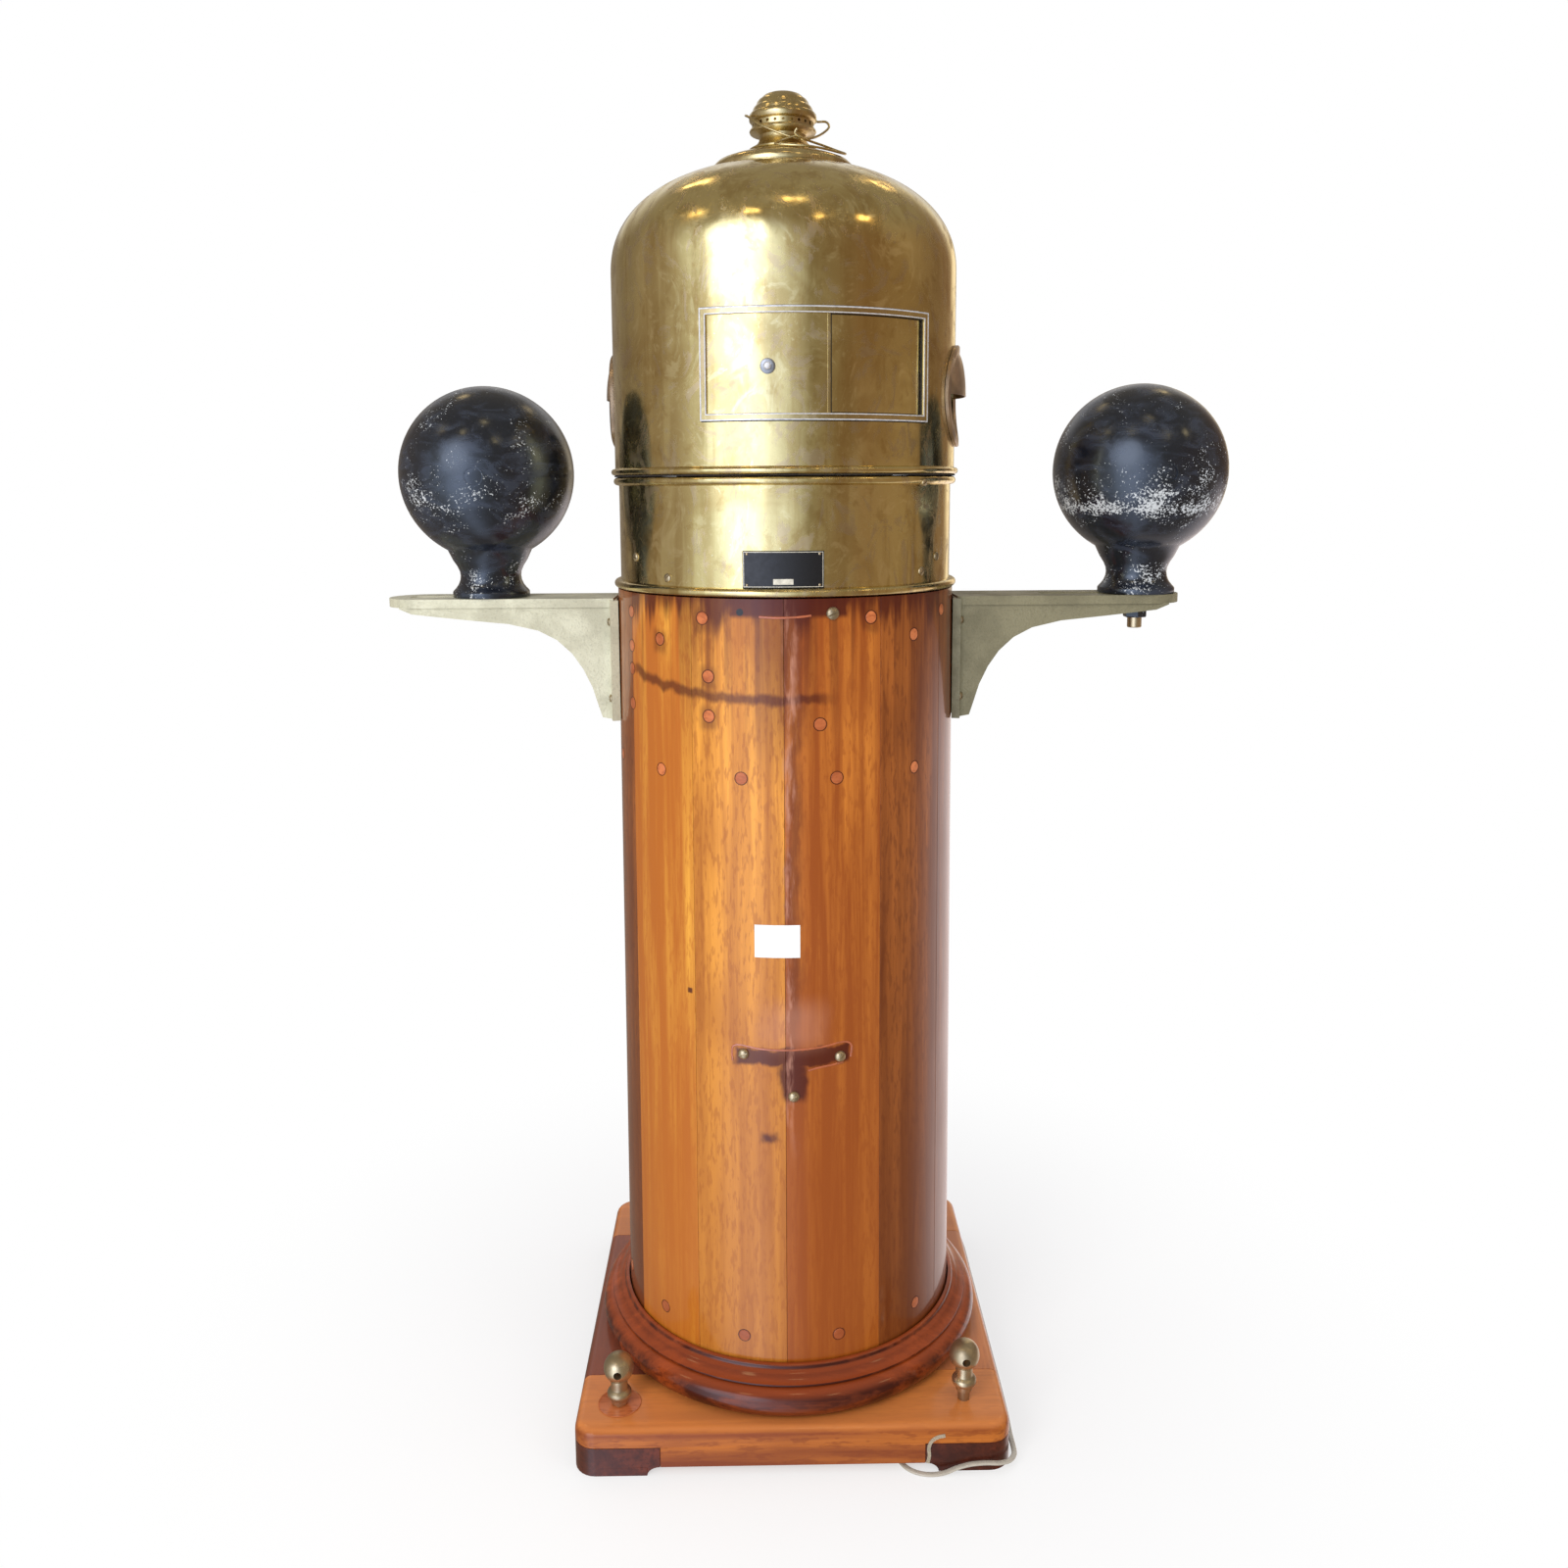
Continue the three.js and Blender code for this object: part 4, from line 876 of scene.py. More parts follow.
def build_lead():
    """A flat clear twin lead, laid flat along its route and on edge in the coil."""
    straight = [Vector((x, y, z - LEAD_DROP)) for x, y, z in LEAD_ROUTE]
    coil = coil_path()
    plug_low, plug_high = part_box("lamp_plug")
    plug_end = Vector((plug_high[0], COIL_CENTRE[1], (plug_low[2] + plug_high[2]) / 2))
    x, y = COIL_CENTRE
    climb = [
        Vector((x - 0.0020, y + 0.0295, 0.0160)), Vector((x + 0.0125, y + 0.0320, 0.0185)),
        Vector((x + 0.0225, y + 0.0293, 0.0196)), Vector((x + 0.0298, y + 0.0220, 0.0211)),
        Vector((x + 0.0325, y + 0.0120, 0.0230)), Vector((x + 0.0309, y + 0.0060, 0.0240)),
        Vector((x + 0.0265, y + 0.0016, 0.0248)), Vector((x + 0.0205, y, plug_end.z)),
        plug_end - Vector((0.003, 0, 0)),
    ]
    steps = 5
    path = curve_through([*straight, *coil[1:], *climb], steps)
    uprights = []
    for i in range(len(path)):
        part = i / steps - len(straight) + 1
        edge = min(1.0, max(0.0, part / 6))
        left = (len(path) - i) / steps
        edge = min(edge, max(0.0, (left - 2) / 4))
        outward = path[i] - Vector((*COIL_CENTRE, path[i].z))
        uprights.append((Vector((0, 0, 1)).lerp(outward.normalized(), edge)).normalized())
    width = (LEAD_WIDTH - LEAD_THICKNESS) / 2
    core = LEAD_THICKNESS / 2
    section = []
    for side in (1, -1):
        for i in range(7):
            turn = math.radians(-75 + 25 * i)
            section.append((side * (width + core * math.cos(turn)), side * core * math.sin(turn)))
    lead = sweep("lead", path, section, "cord_jacket", uprights=uprights, sharp=80)
    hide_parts("lamp_cord", "lamp_cord_coil")
    plug = build_plug()
    gland = build_gland()
    build_cord_tie()


def build_plug():
    """A moulded two-pin plug lying on the coil."""
    low, high = extent("lamp_plug")
    body_from = low.x + 17
    middle_y = (low.y + high.y) / 2
    middle_z = (low.z + high.z) / 2
    rings = [  # share of the length from the pins, half width, half height
        (0.0, 9.0, 7.2), (0.03, 9.8, 7.9), (0.3, 9.8, 7.9), (0.5, 8.6, 7.0), (0.72, 6.4, 5.4),
        (0.92, 4.6, 3.8), (1.0, 3.9, 3.0),
    ]
    points, sides = [], 28
    for share, half_y, half_z in rings:
        x = body_from + share * (high.x - body_from)
        for i in range(sides):
            turn = math.tau * i / sides
            out_y = squarish(math.cos(turn), 0.55) * half_y
            out_z = squarish(math.sin(turn), 0.55) * half_z
            points.append((x, middle_y + out_y, middle_z + out_z))
    faces = wrapped_faces(len(rings), sides)
    plug = solid("plug_body", points, faces, "plug_plastic", replaces=["lamp_plug"], sharp=50)
    blades = []
    for side in (-6.35, 6.35):
        corner = (low.x, middle_y + side - 0.8, middle_z - 3)
        blades.append(block_mesh(corner, (body_from + 1, middle_y + side + 0.8, middle_z + 3)))
    solid("plug_blades", *join_shapes(blades), "trim_brass", bevel=0.3)
    return plug


def build_gland():
    """A tapered strain relief below the base."""
    low, high = extent("cord_gland")
    middle = (low.x + high.x) / 2
    rings = [(low.y, 2.9, 1.6), (low.y + 12, 4.2, 2.0), (low.y + 24, 6.0, 2.4), (high.y, 7.6, 2.6)]
    points, sides = [], 24
    for y, half_x, half_z in rings:
        for i in range(sides):
            turn = math.tau * i / sides
            points.append((middle + half_x * math.cos(turn), y, low.z + 2.7 + half_z * math.sin(turn)))
    faces = wrapped_faces(len(rings), sides)
    gland = solid("gland_relief", points, faces, "gland_rubber", replaces=["cord_gland"], sharp=50)
    stem = [(0, low.z + 3), (6.2, low.z + 3), (6.2, high.z), (0, high.z)]
    place = (middle, low.y + 20, 0)
    lathe("gland_stem", stem, "gland_rubber", sides=32, closed=False, at=place, bevel=0.4)
    return gland


def build_cord_tie():
    """A twist tie round one side of the coil."""
    x, y = COIL_CENTRE
    thickness = 0.0003
    bottom, top = thickness * 0.6, COIL_BOTTOM + LEAD_WIDTH * 2.5 + thickness
    middle = Vector((x - COIL_RADIUS, y, (bottom + top) / 2))
    loop = []
    for i in range(25):
        turn = math.tau * i / 24
        out = squarish(math.cos(turn), 0.5) * (LEAD_WIDTH + 0.0008)
        up = squarish(math.sin(turn), 0.5) * (top - bottom) / 2
        loop.append(middle + Vector((out, 0, up)))
    flat, thin = 0.0014, thickness / 2
    section = [(-flat, -thin), (flat, -thin), (flat, thin), (-flat, thin)]
    outwards = [(point - middle).normalized() for point in loop]
    sweep("cord_tie", loop, section, "gland_rubber", uprights=outwards)


# ---- Base ----

def rounded_square(half, radius):
    """The outline of a square with rounded corners."""
    corners = ((half, half, 0), (-half, half, 90), (-half, -half, 180), (half, -half, 270))
    outline = []
    for x, y, first in corners:
        middle_x = x - math.copysign(radius, x)
        middle_y = y - math.copysign(radius, y)
        for angle in spread(first, first + 90, 8):
            turn = math.radians(angle)
            outline.append((middle_x + radius * math.cos(turn), middle_y + radius * math.sin(turn)))
    return outline


def base_blank():
    """The whole base as one block with rounded corners and a rounded top edge."""
    levels = [(0.0, 0.0), (BASE_TOP - BASE_ROUND, 0.0)]
    for angle in spread(15, 90, 6):
        turn = math.radians(angle)
        levels.append((BASE_TOP - BASE_ROUND * (1 - math.sin(turn)), BASE_ROUND * (1 - math.cos(turn))))
    shell = bmesh.new()
    rows = []
    for height, inset in levels:
        outline = rounded_square(BASE_HALF - inset, BASE_CORNER - inset)
        rows.append([shell.verts.new(Vector((x, y, height))) for x, y in outline])
    for low, high in zip(rows, rows[1:]):
        for i, corner in enumerate(low):
            j = (i + 1) % len(low)
            shell.faces.new((corner, low[j], high[j], high[i]))
    shell.faces.new(rows[-1])
    shell.faces.new(list(reversed(rows[0])))
    return shell


def base_part(low, high):
    """Points and faces of the part of the base inside a box."""
    shell = base_blank()
    planes = [(low, axis, -1) for axis in range(3)] + [(high, axis, 1) for axis in range(3)]
    for corner, axis, way in planes:
        normal = [0, 0, 0]
        normal[axis] = way
        everything = [*shell.verts, *shell.edges, *shell.faces]
        cut = bmesh.ops.bisect_plane(
            shell, geom=everything, plane_co=corner, plane_no=normal, clear_outer=True,
        )
        edges = [item for item in cut["geom_cut"] if isinstance(item, bmesh.types.BMEdge)]
        if edges:
            bmesh.ops.holes_fill(shell, edges=edges)
    shell.verts.index_update()
    points = [vertex.co.copy() for vertex in shell.verts]
    faces = [[vertex.index for vertex in face.verts] for face in shell.faces]
    shell.free()
    return points, faces


def build_base():
    """The half-lapped boards, the feet, the mouldings, the bolts and the strap at the lead."""
    far = BASE_HALF + 1
    gap = 0.15
    inner = BASE_INNER
    foot_ends = ((-far, -BASE_HALF + FOOT_LENGTH), (BASE_HALF - FOOT_LENGTH, far))
    before, beyond = (-far, -inner), (inner, far)
    for name, (low, high) in (("front", before), ("back", beyond)):
        upper = base_part((-far, low, BASE_LAP + gap), (far, high, BASE_TOP + 1))
        lower = base_part((-inner + gap, low, BASE_UNDERSIDE), (inner - gap, high, BASE_LAP + gap))
        shapes = join_shapes([upper, lower])
        solid(f"board_{name}", *shapes, "light_board", replaces=[f"base_board_{name}"], bevel=0.5)
    for name, (low, high) in (("left", before), ("right", beyond)):
        finish = f"board_{name}"
        upper = base_part((low, -inner + gap, BASE_LAP - gap), (high, inner - gap, BASE_TOP + 1))
        solid(finish, *upper, finish, replaces=[f"base_{finish}"], bevel=0.5)
        shapes = [base_part((low, -far, BASE_UNDERSIDE), (high, far, BASE_LAP - gap))]
        low, high = (low, high - FOOT_COVE) if high < 0 else (low + FOOT_COVE, high)
        shapes += [base_part((low, first, 0), (high, last, BASE_UNDERSIDE)) for first, last in foot_ends]
        solid(f"foot_board_{name}", *join_shapes(shapes), "dark_board", bevel=0.5)
    coves = [foot_cove(side, end) for side in (-1, 1) for end in (-1, 1)]
    solid("foot_coves", *join_shapes(coves), "dark_board", sharp=60)

    inner_radius = 180.0
    torus = [(inner_radius, BASE_TOP + 0.3), *arc(193.5, BASE_TOP + 15.3, 15, -90, 90, 24),
             (inner_radius, BASE_TOP + 30.3)]
    lathe("torus_moulding", torus, "moulding", replaces=["base_torus_ring"], sharp=50)
    ogee = [(inner_radius, 0), (196.5, 0), (197.4, 0.5), (198, 1.6), (197.6, 2.7), (196, 3.2),
            (193.4, 4.2), (191, 6.0), (189.3, 8.0), (187.6, 9.6), (185.6, 10.4), (184.4, 11.6),
            (184.2, 13.2), (183.4, 14.6), (182, 15.2), (inner_radius, 15.2)]
    ogee = raised(ogee, BASE_TOP + 30.6)
    lathe("ogee_moulding", ogee, "moulding", replaces=["base_ogee_ring"], sharp=50)
    build_bolts()
    strap = [(133, 9.5), (134.5, 18), (134, 26), (137, 33.5), (143, 37.5), (150, 39.0)]
    path = curve_through([Vector((x, -BASE_HALF - 0.5, z)) * MM for x, z in strap], 6)
    section = [(-0.0017, -0.0004), (0.0017, -0.0004), (0.0017, 0.0004), (-0.0017, 0.0004)]
    sweep("board_strap", path, section, "strap", uprights=[Vector((0, -1, 0))] * len(path))


def foot_cove(side, end):
    """The hollow inner edge of a foot."""
    inner = BASE_INNER
    profile = [(inner + FOOT_COVE, BASE_UNDERSIDE)]
    for angle in spread(0, 86, 8):
        turn = math.radians(angle)
        profile.append((inner + FOOT_COVE * math.cos(turn), BASE_UNDERSIDE * math.sin(turn)))
    points = []
    for y in (end * (BASE_HALF - 0.4), end * (BASE_HALF - FOOT_LENGTH)):
        points += [(side * across, y, height) for across, height in profile]
    return points, wrapped_faces(2, len(profile))


def build_bolts():
    """Holding-down bolts with a collar, a ball head and a cross hole."""
    ball = 15.2
    for name in ("front_left", "front_right", "back_left", "back_right"):
        low, high = extent(f"hold_down_bolt_{name}")
        x, y = (low.x + high.x) / 2, (low.y + high.y) / 2
        seat = high.z - 88 - ball
        centre = seat + 88
        shank = [(0, 3), (6, 3), (6, 49), (8.2, 50), (8.2, 54.6), (11.4, 56.8), (12.2, 58.4),
                 (12.2, 61.6), (11.2, 63.4), (8.8, 65.4), (8.4, 68.6), (8.6, 72)]
        profile = [*raised(shank, seat), *arc(0, centre, ball, -56, 88, 20), (0, centre + ball)]
        bolt = lathe(
            f"bolt_{name}", profile, "old_brass", f"bolt_{name}", sides=SMALL, closed=False,
            at=(x, y, 0), replaces=[f"hold_down_bolt_{name}"],
        )
        hole, faces = turned([(0, -20), (4, -20), (4, 20), (0, 20)], 24, False)
        carve(bolt, [Vector((x + p.x, y + p.z, centre + p.y)) for p in hole], faces)
        if name == "front_right":
            continue
        seat_ring = [(7.4, 0.05), (21.4, 0.05), (21.9, 0.5), (21.2, 0.9), (19.6, 0.5), (7.4, 0.4)]
        seat_ring = raised(seat_ring, BASE_TOP)
        lathe(f"bolt_seat_{name}", seat_ring, "bung", sides=SMALL, at=(x, y, 0))


# ---- Column ----

def column_radius(height):
    share = (height - COLUMN_BOTTOM) / (COLUMN_TOP - COLUMN_BOTTOM)
    return COLUMN_FOOT_RADIUS + (COLUMN_HEAD_RADIUS - COLUMN_FOOT_RADIUS) * share


def stave(name, first, last, bottom, top, finish, body="root", **options):
    columns = max(2, math.ceil((last - first) / AZIMUTH_STEP) + 1)
    seam = 0.04
    points, faces = grid_slab(
        spread(first + seam, last - seam, columns), spread(bottom, top, 2),
        lambda h: column_radius(h) - COLUMN_WALL, column_radius,
    )
    return solid(name, points, faces, finish, body, bevel=0.35, **options)


def build_column():
    """Ten whole staves, and two at the back that the access door is cut out of."""
    quarters = ("front", "front_right", "back_right", "back_left", "front_left")
    for number, (first, last) in enumerate(zip(STAVE_EDGES, STAVE_EDGES[1:])):
        finish = f"stave_wood_{number}"
        piece = stave(f"stave_{number + 1}", first, last, COLUMN_BOTTOM, COLUMN_TOP, finish)
        if number == MIDDLE_STAVE:
            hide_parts(*[f"column_stave_{quarter}" for quarter in quarters])
    door_from, door_to = DOOR_EDGES
    sides = [
        (150, door_from, COLUMN_BOTTOM, COLUMN_TOP), (door_to, 210, COLUMN_BOTTOM, COLUMN_TOP),
        (door_from, 180, COLUMN_BOTTOM, DOOR_BOTTOM), (180, door_to, COLUMN_BOTTOM, DOOR_BOTTOM),
        (door_from, 180, DOOR_TOP, COLUMN_TOP), (180, door_to, DOOR_TOP, COLUMN_TOP),
    ]
    for number, (first, last, bottom, top) in enumerate(sides):
        piece = stave(f"back_stave_{number + 1}", first, last, bottom, top, "stave_wood_back")
        if number == 0:
            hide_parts("column_stave_back")
    bottom, top = DOOR_BOTTOM + 1, DOOR_TOP - 1
    stave("door_stave_1", door_from + 0.4, 180, bottom, top, "stave_wood_9", "door", replaces=["access_door"])
    stave("door_stave_2", 180, door_to - 0.4, bottom, top, "stave_wood_back", "door")
    build_column_fittings()


def on_column(azimuth, height, proud=0.0):
    return (azimuth, column_radius(height) + proud, height)


def slot_screws(name, places, finish, radius, rise, slot, body="root"):
    """Round-headed screws, each with a slot cut across its head."""
    head = [(0, -2), (radius, -2), (radius, 0.4), *arc(0, 0.4, radius, 8, 82, 6), (0, 0.4 + radius)]
    head = [(r, z if z <= 0.4 else 0.4 + (z - 0.4) * rise / radius) for r, z in head]
    piece = studs(name, head, places, finish, body, sides=28)
    random.seed(len(name))
    tools = []
    for azimuth, seat, height in places:
        turn = math.radians(20 + random.uniform(-50, 50))
        outward, aside = around(azimuth, 1), around(azimuth + 90, 1)
        along = aside * math.cos(turn) + Vector((0, 0, math.sin(turn)))
        across = outward.cross(along)
        middle = around(azimuth, seat + rise + 1, height)
        box, faces = block_mesh((-radius - 1, -slot / 2, -2), (radius + 1, slot / 2, 2))
        tools.append(([middle + along * p.x + across * p.y + outward * p.z for p in box], faces))
    carve(piece, *join_shapes(tools))
    return piece


def build_column_fittings():
    """Bungs, screws, the paper label, ridges of varnish, and the CAD pieces kept as they are."""
    bungs = [(-45, 692), (-15, 692), (15, 692), (45, 692), (-47, 119), (-15.5, 119), (15.5, 119),
             (47, 119), (-27.6, 843), (26.6, 843), (-44.9, 820), (44.4, 823), (-25.7, 788),
             (-25.6, 750), (9.7, 744), (-62, 843), (-62, 809), (-62, 786), (-62, 751), (62, 843)]
    bungs += [(azimuth, height) for azimuth in (105, 135, 225, 255, 285) for height in (119, 692)]
    button = [(0, -1.5), (5.9, -1.5), (5.9, 0.0), (5.4, 0.45), (3, 0.6), (0, 0.65)]
    studs("stave_bungs", button, [on_column(a, h, -0.2) for a, h in bungs], "bung", sides=28)
    rim = [(5.9, -1.0), (6.6, -1.0), (6.6, 0.12), (5.9, 0.12)]
    studs("bung_rims", rim, [on_column(*bung) for bung in bungs], "dark_board", sides=28, closed=True)

    ghost = [on_column(-15, 418), on_column(16, 414), on_column(1, 376)]
    slot_screws("ghost_screws", ghost, "old_brass", 5.6, 3.6, 1.3)
    slot_screws("head_screw", [on_column(13.7, 848)], "old_brass", 6.2, 3.4, 1.4)
    # a black disc painted as the shade inside an empty screw hole
    plug_hole = [(0, -2), (3.4, -2), (3.4, 0.1), (0, 0.1)]
    studs("head_screw_hole_shade", plug_hole, [on_column(-15, 849.5)], "nameplate_black", sides=20)
    label = grid_slab(
        spread(-11.1, 3.2, 10), spread(517, 549.5, 2),
        lambda h: column_radius(h) + 0.06, lambda h: column_radius(h) + 0.22,
    )
    solid("paper_label", *label, "paper")

    ridges = [
        [(-18.6, 410), (-18.8, 418), (-18.2, 425.5), (-9, 424), (0, 423.5), (9, 425), (18, 428),
         (19.8, 424), (19.6, 412)],
        [(5.6, 402), (9, 404.5), (13, 406), (17, 407.5)],
        [(-9, 845.4), (-3, 844.6), (3, 845.2), (7, 846.4)],
    ]
    for number, marks in enumerate(ridges):
        path = curve_through([around(*on_column(a, h, 0.1)) * MM for a, h in marks], 6)
        outwards = [Vector((point.x, point.y, 0)).normalized() for point in path]
        flat = [(x * 1.3, y * 0.6) for x, y in round_section(0.0008, 10)]
        sweep(f"varnish_ridge_{number + 1}", path, flat, "varnish_ridge", uprights=outwards, sharp=80)

    dress(0.3, "inner_wood", "column_top_ring", "column_bottom_ring")
    dress(0.3, "old_brass", "door_hinge_column_leaf", "door_hinge_door_leaf", "door_latch")
    dress(0.3, "dark_board", "base_bottom_sheet")


def dress(bevel, finish, *nodes):
    """Give CAD nodes a better material and softer edges."""
    for node in nodes:
        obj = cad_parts[node]
        for slot in obj.material_slots:
            slot.material = FINISHES[finish][0]
        if bevel:
            soften(obj, bevel)


# ---- Arms, spheres and clamps ----

def build_sphere_gear():
    """Each side's arm, sphere with its neck and plug, clamp and flange screws."""
    neck = [(0, 0), (38.9, 0), (39.5, 0.6), (39.5, 5.2), (38.8, 6.4), (36.0, 9.4), (33.4, 13),
            (31.6, 17.5), (31, 22), (31.6, 26.5), (34.0, 32), (38.2, 38.5)]
    for side in ("left", "right"):
        finish, body = f"black_iron_{side}", f"sphere_{side}"
        # the brackets take the painted lit tone on the left and the painted shaded tone on the right
        dress(0.9, f"cast_bracket_{side}", f"sphere_bracket_{side}")
        build_clamp(side)
        low, high = extent(f"quadrantal_sphere_{side}")
        x = (low.x + high.x) / 2
        ball = arc(0, SPHERE_HEIGHT, SPHERE_RADIUS, -61, 88, 44)
        profile = [*raised(neck, low.z), *ball, (0, SPHERE_HEIGHT + SPHERE_RADIUS)]
        lathe(f"corrector_{side}", profile, finish, body, sides=112, closed=False,
              at=(x, 0, 0), replaces=[f"quadrantal_sphere_{side}"], sharp=60)
        front = -SPHERE_RADIUS + 0.35
        shape, faces = turned([(8.6, -1.0), (9.6, -1.0), (9.6, 0.5), (8.6, 0.5)], 40)
        tilt = Matrix.Rotation(math.radians(2), 3, "X")
        seat = Vector((x + 4, 0, SPHERE_HEIGHT))
        points = [tilt @ Vector((p.x, front - p.z, p.y)) + seat for p in shape]
        solid(f"corrector_plug_{side}", points, faces, finish, body)
        flange_screws(side)


def build_clamp(side):
    """The stud, nut and washer under an arm; the left stud is cut off flush with its nut."""
    low, high = extent(f"sphere_clamp_{side}")
    at = ((low.x + high.x) / 2, 0, 0)
    body = f"sphere_{side}"
    nut_bottom = low.z + 11
    stud_end = low.z if side == "right" else nut_bottom + 1
    stud = [(0, stud_end), (6.7, stud_end), (7.5, stud_end + 0.8), (7.5, high.z), (0, high.z)]
    lathe(f"clamp_stud_{side}", stud, "old_brass", body, sides=32, closed=False, at=at,
          replaces=[f"sphere_clamp_{side}"])
    nut = [(7.7, nut_bottom), (11.6, nut_bottom), (12.5, nut_bottom + 1), (12.5, high.z - 10.6),
           (7.7, high.z - 10.6)]
    lathe(f"clamp_nut_{side}", nut, f"black_iron_{side}", body, sides=6, at=at, bevel=0.4)
    washer = [(7.7, high.z - 10.5), (17, high.z - 10.5), (17, high.z - 8.4), (7.7, high.z - 8.4)]
    lathe(f"clamp_washer_{side}", washer, f"black_iron_{side}", body, sides=48, at=at, bevel=0.3)


def flange_screws(side):
    """Four screw heads on the bracket's flange."""
    way = 1 if side == "right" else -1
    places = [(way * (90 + off), 184.4, height) for height in (827.5, 748) for off in (-10.2, 10.2)]
    slot_screws(f"flange_screws_{side}", places, "old_brass", 4.2, 2.4, 1.0)


# ---- Housing ----

def build_housing():
    """The brass wall with a bead at each end, its screws, the nameplate and the lamp."""
    inner = HOUSING_RADIUS - 2.5
    bead = 4.0
    profile = [(inner, HOUSING_BOTTOM), *arc(173.8, HOUSING_BOTTOM + bead, bead, -90, 90, 12),
               (HOUSING_RADIUS, HOUSING_BOTTOM + 2 * bead + 0.6),
               (HOUSING_RADIUS, HOUSING_TOP - 2 * bead - 0.6),
               *arc(172.4, HOUSING_TOP - bead, bead, -90, 90, 12), (inner, HOUSING_TOP)]
    lathe("housing_shell", profile, "polished_brass", replaces=["bowl_housing"], sharp=30)
    places = [(-59.8, 897), (-41.8, 879), (49.4, 883), (59.5, 896), (120, 884), (-120, 884), (180, 884)]
    places = [(azimuth, HOUSING_RADIUS, height) for azimuth, height in places]
    slot_screws("housing_screws", places, "old_brass", 4.4, 2.0, 1.0)
    slot_screws("bead_screw", [(48.5, 175.6, 968)], "old_brass", 3.4, 1.6, 0.9)
    build_nameplate()
    dress(0.3, "old_brass", "housing_floor")
    dress(0.5, "old_brass", "gimbal_support_ring")
    dress(0.5, "bakelite", "lamp_socket")
    low, high = extent("lamp_socket")
    middle = (low + high) / 2
    bulb = [(0, high.z - 1), (5, high.z - 1), (5, high.z + 3),
            *arc(0, high.z + 13, 8.6, -50, 86, 14), (0, high.z + 21.6)]
    lathe("lamp_bulb", bulb, "bulb_glass", sides=32, closed=False, at=(middle.x, middle.y, 0))


def build_nameplate():
    """A black plate with a pale border and one blank pale field; no lettering."""
    low, high = extent("nameplate")
    first, last = -14.2, 11.2
    face = HOUSING_RADIUS + 1.3
    slab("plate_ground", (first, last), (low.z, high.z), HOUSING_RADIUS + 0.1, face,
         "nameplate_black", replaces=["nameplate"], bevel=0.3)
    edge, line = 0.9, 0.55
    border = face + 0.12
    inset = math.degrees(edge / face)
    wide = math.degrees(line / face)
    west, east = first + inset, last - inset
    foot, head = low.z + edge, high.z - edge
    bars = [
        ((west, east), (head - line, head)), ((west, east), (foot, foot + line)),
        ((west, west + wide), (foot, head)), ((east - wide, east), (foot, head)),
        ((-4.6, 1.6), (low.z + 3.2, low.z + 8.4)),
    ]
    shapes = [
        grid_slab(spread(*span, 14), spread(*levels, 2), lambda _: face - 0.3, lambda _: border)
        for span, levels in bars
    ]
    solid("plate_lines", *join_shapes(shapes), "nameplate_line")
    rivet = [(0, -0.5), (1.3, -0.5), (1.2, 0.3), (0.7, 0.7), (0, 0.8)]
    places = [(azimuth, face, height) for height in (low.z + 2.8, high.z - 2.8)
              for azimuth in (first + 1.4, last - 1.4)]
    studs("plate_rivets", rivet, places, "old_brass", sides=18)


def build_compass():
    """The gimballed bowl, its glass and its card, seen through the rear window."""
    dress(0.4, "old_brass", "gimbal_ring")
    dress(0.4, "trim_brass", "compass_bowl")
    glass = [(0, 16.3), (108.6, 16.3), (109, 16.7), (109, 19.6), (108.6, 20), (0, 20)]
    lathe("bowl_window", raised(glass, GIMBAL_HEIGHT), "clear_glass", "bowl", closed=False,
          replaces=["bowl_glass"])
    bezel = [(99, 20.3), (112, 20.3), (112, 23.4), (111.2, 24.6), (109.6, 25.5), (102, 25.5),
             (100, 24.4), (99, 22.6)]
    lathe("bezel_ring", raised(bezel, GIMBAL_HEIGHT), "trim_brass", "bowl", replaces=["bowl_bezel"])
    head, faces = turned([(0, -1), (2.4, -1), (2.2, 0.6), (0, 1.2)], 20, False)
    seats = [around(azimuth, 106, GIMBAL_HEIGHT + 25.4) for azimuth in range(15, 375, 45)]
    screws = [([point + seat for point in head], faces) for seat in seats]
    solid("bezel_screws", *join_shapes(screws), "old_brass", "bowl")
    card = [(0, -5), (26, -10), (30, -4), (95.6, -4), (96, -3.6), (95.6, -3.2), (30, 1.6), (8, 4.6), (0, 5)]
    lathe("compass_rose", raised(card, GIMBAL_HEIGHT), "card", "card", closed=False,
          replaces=["compass_card"])
    marks = []
    rim = 94
    for azimuth in range(0, 360, 5):
        long, wide = (9, 0.5) if azimuth % 30 == 0 else (5, 0.3)
        start = rim - long
        near, far = math.degrees(wide / start), math.degrees(wide / rim)
        marks.append(card_mark(
            (azimuth - near, start), (azimuth + near, start), (azimuth + far, rim), (azimuth - far, rim),
        ))
    for azimuth in range(0, 360, 45):
        hub, tip = 32, 76 if azimuth % 90 == 0 else 56
        marks.append(card_mark((azimuth - 9, hub), (azimuth + 9, hub), (azimuth, tip)))
    solid("rose_marks", *join_shapes(marks), "card_ink", "card")


def card_mark(*corners):
    """A thin shape on the card's upper face, outside its hub, from (azimuth, radius) corners."""
    def top(radius):
        return GIMBAL_HEIGHT + (1.6 - 4.8 * (radius - 30) / 65.6) + 0.2
    return prism([around(azimuth, radius, top(radius)) for azimuth, radius in corners], 0.4)


# ---- Hood ----

def dome_height(radius, outer=HOOD_RADIUS, rise=DOME_RISE):
    return HOOD_SHOULDER + rise * (1 - (radius / outer) ** DOME_POWER) ** (1 / DOME_POWER)


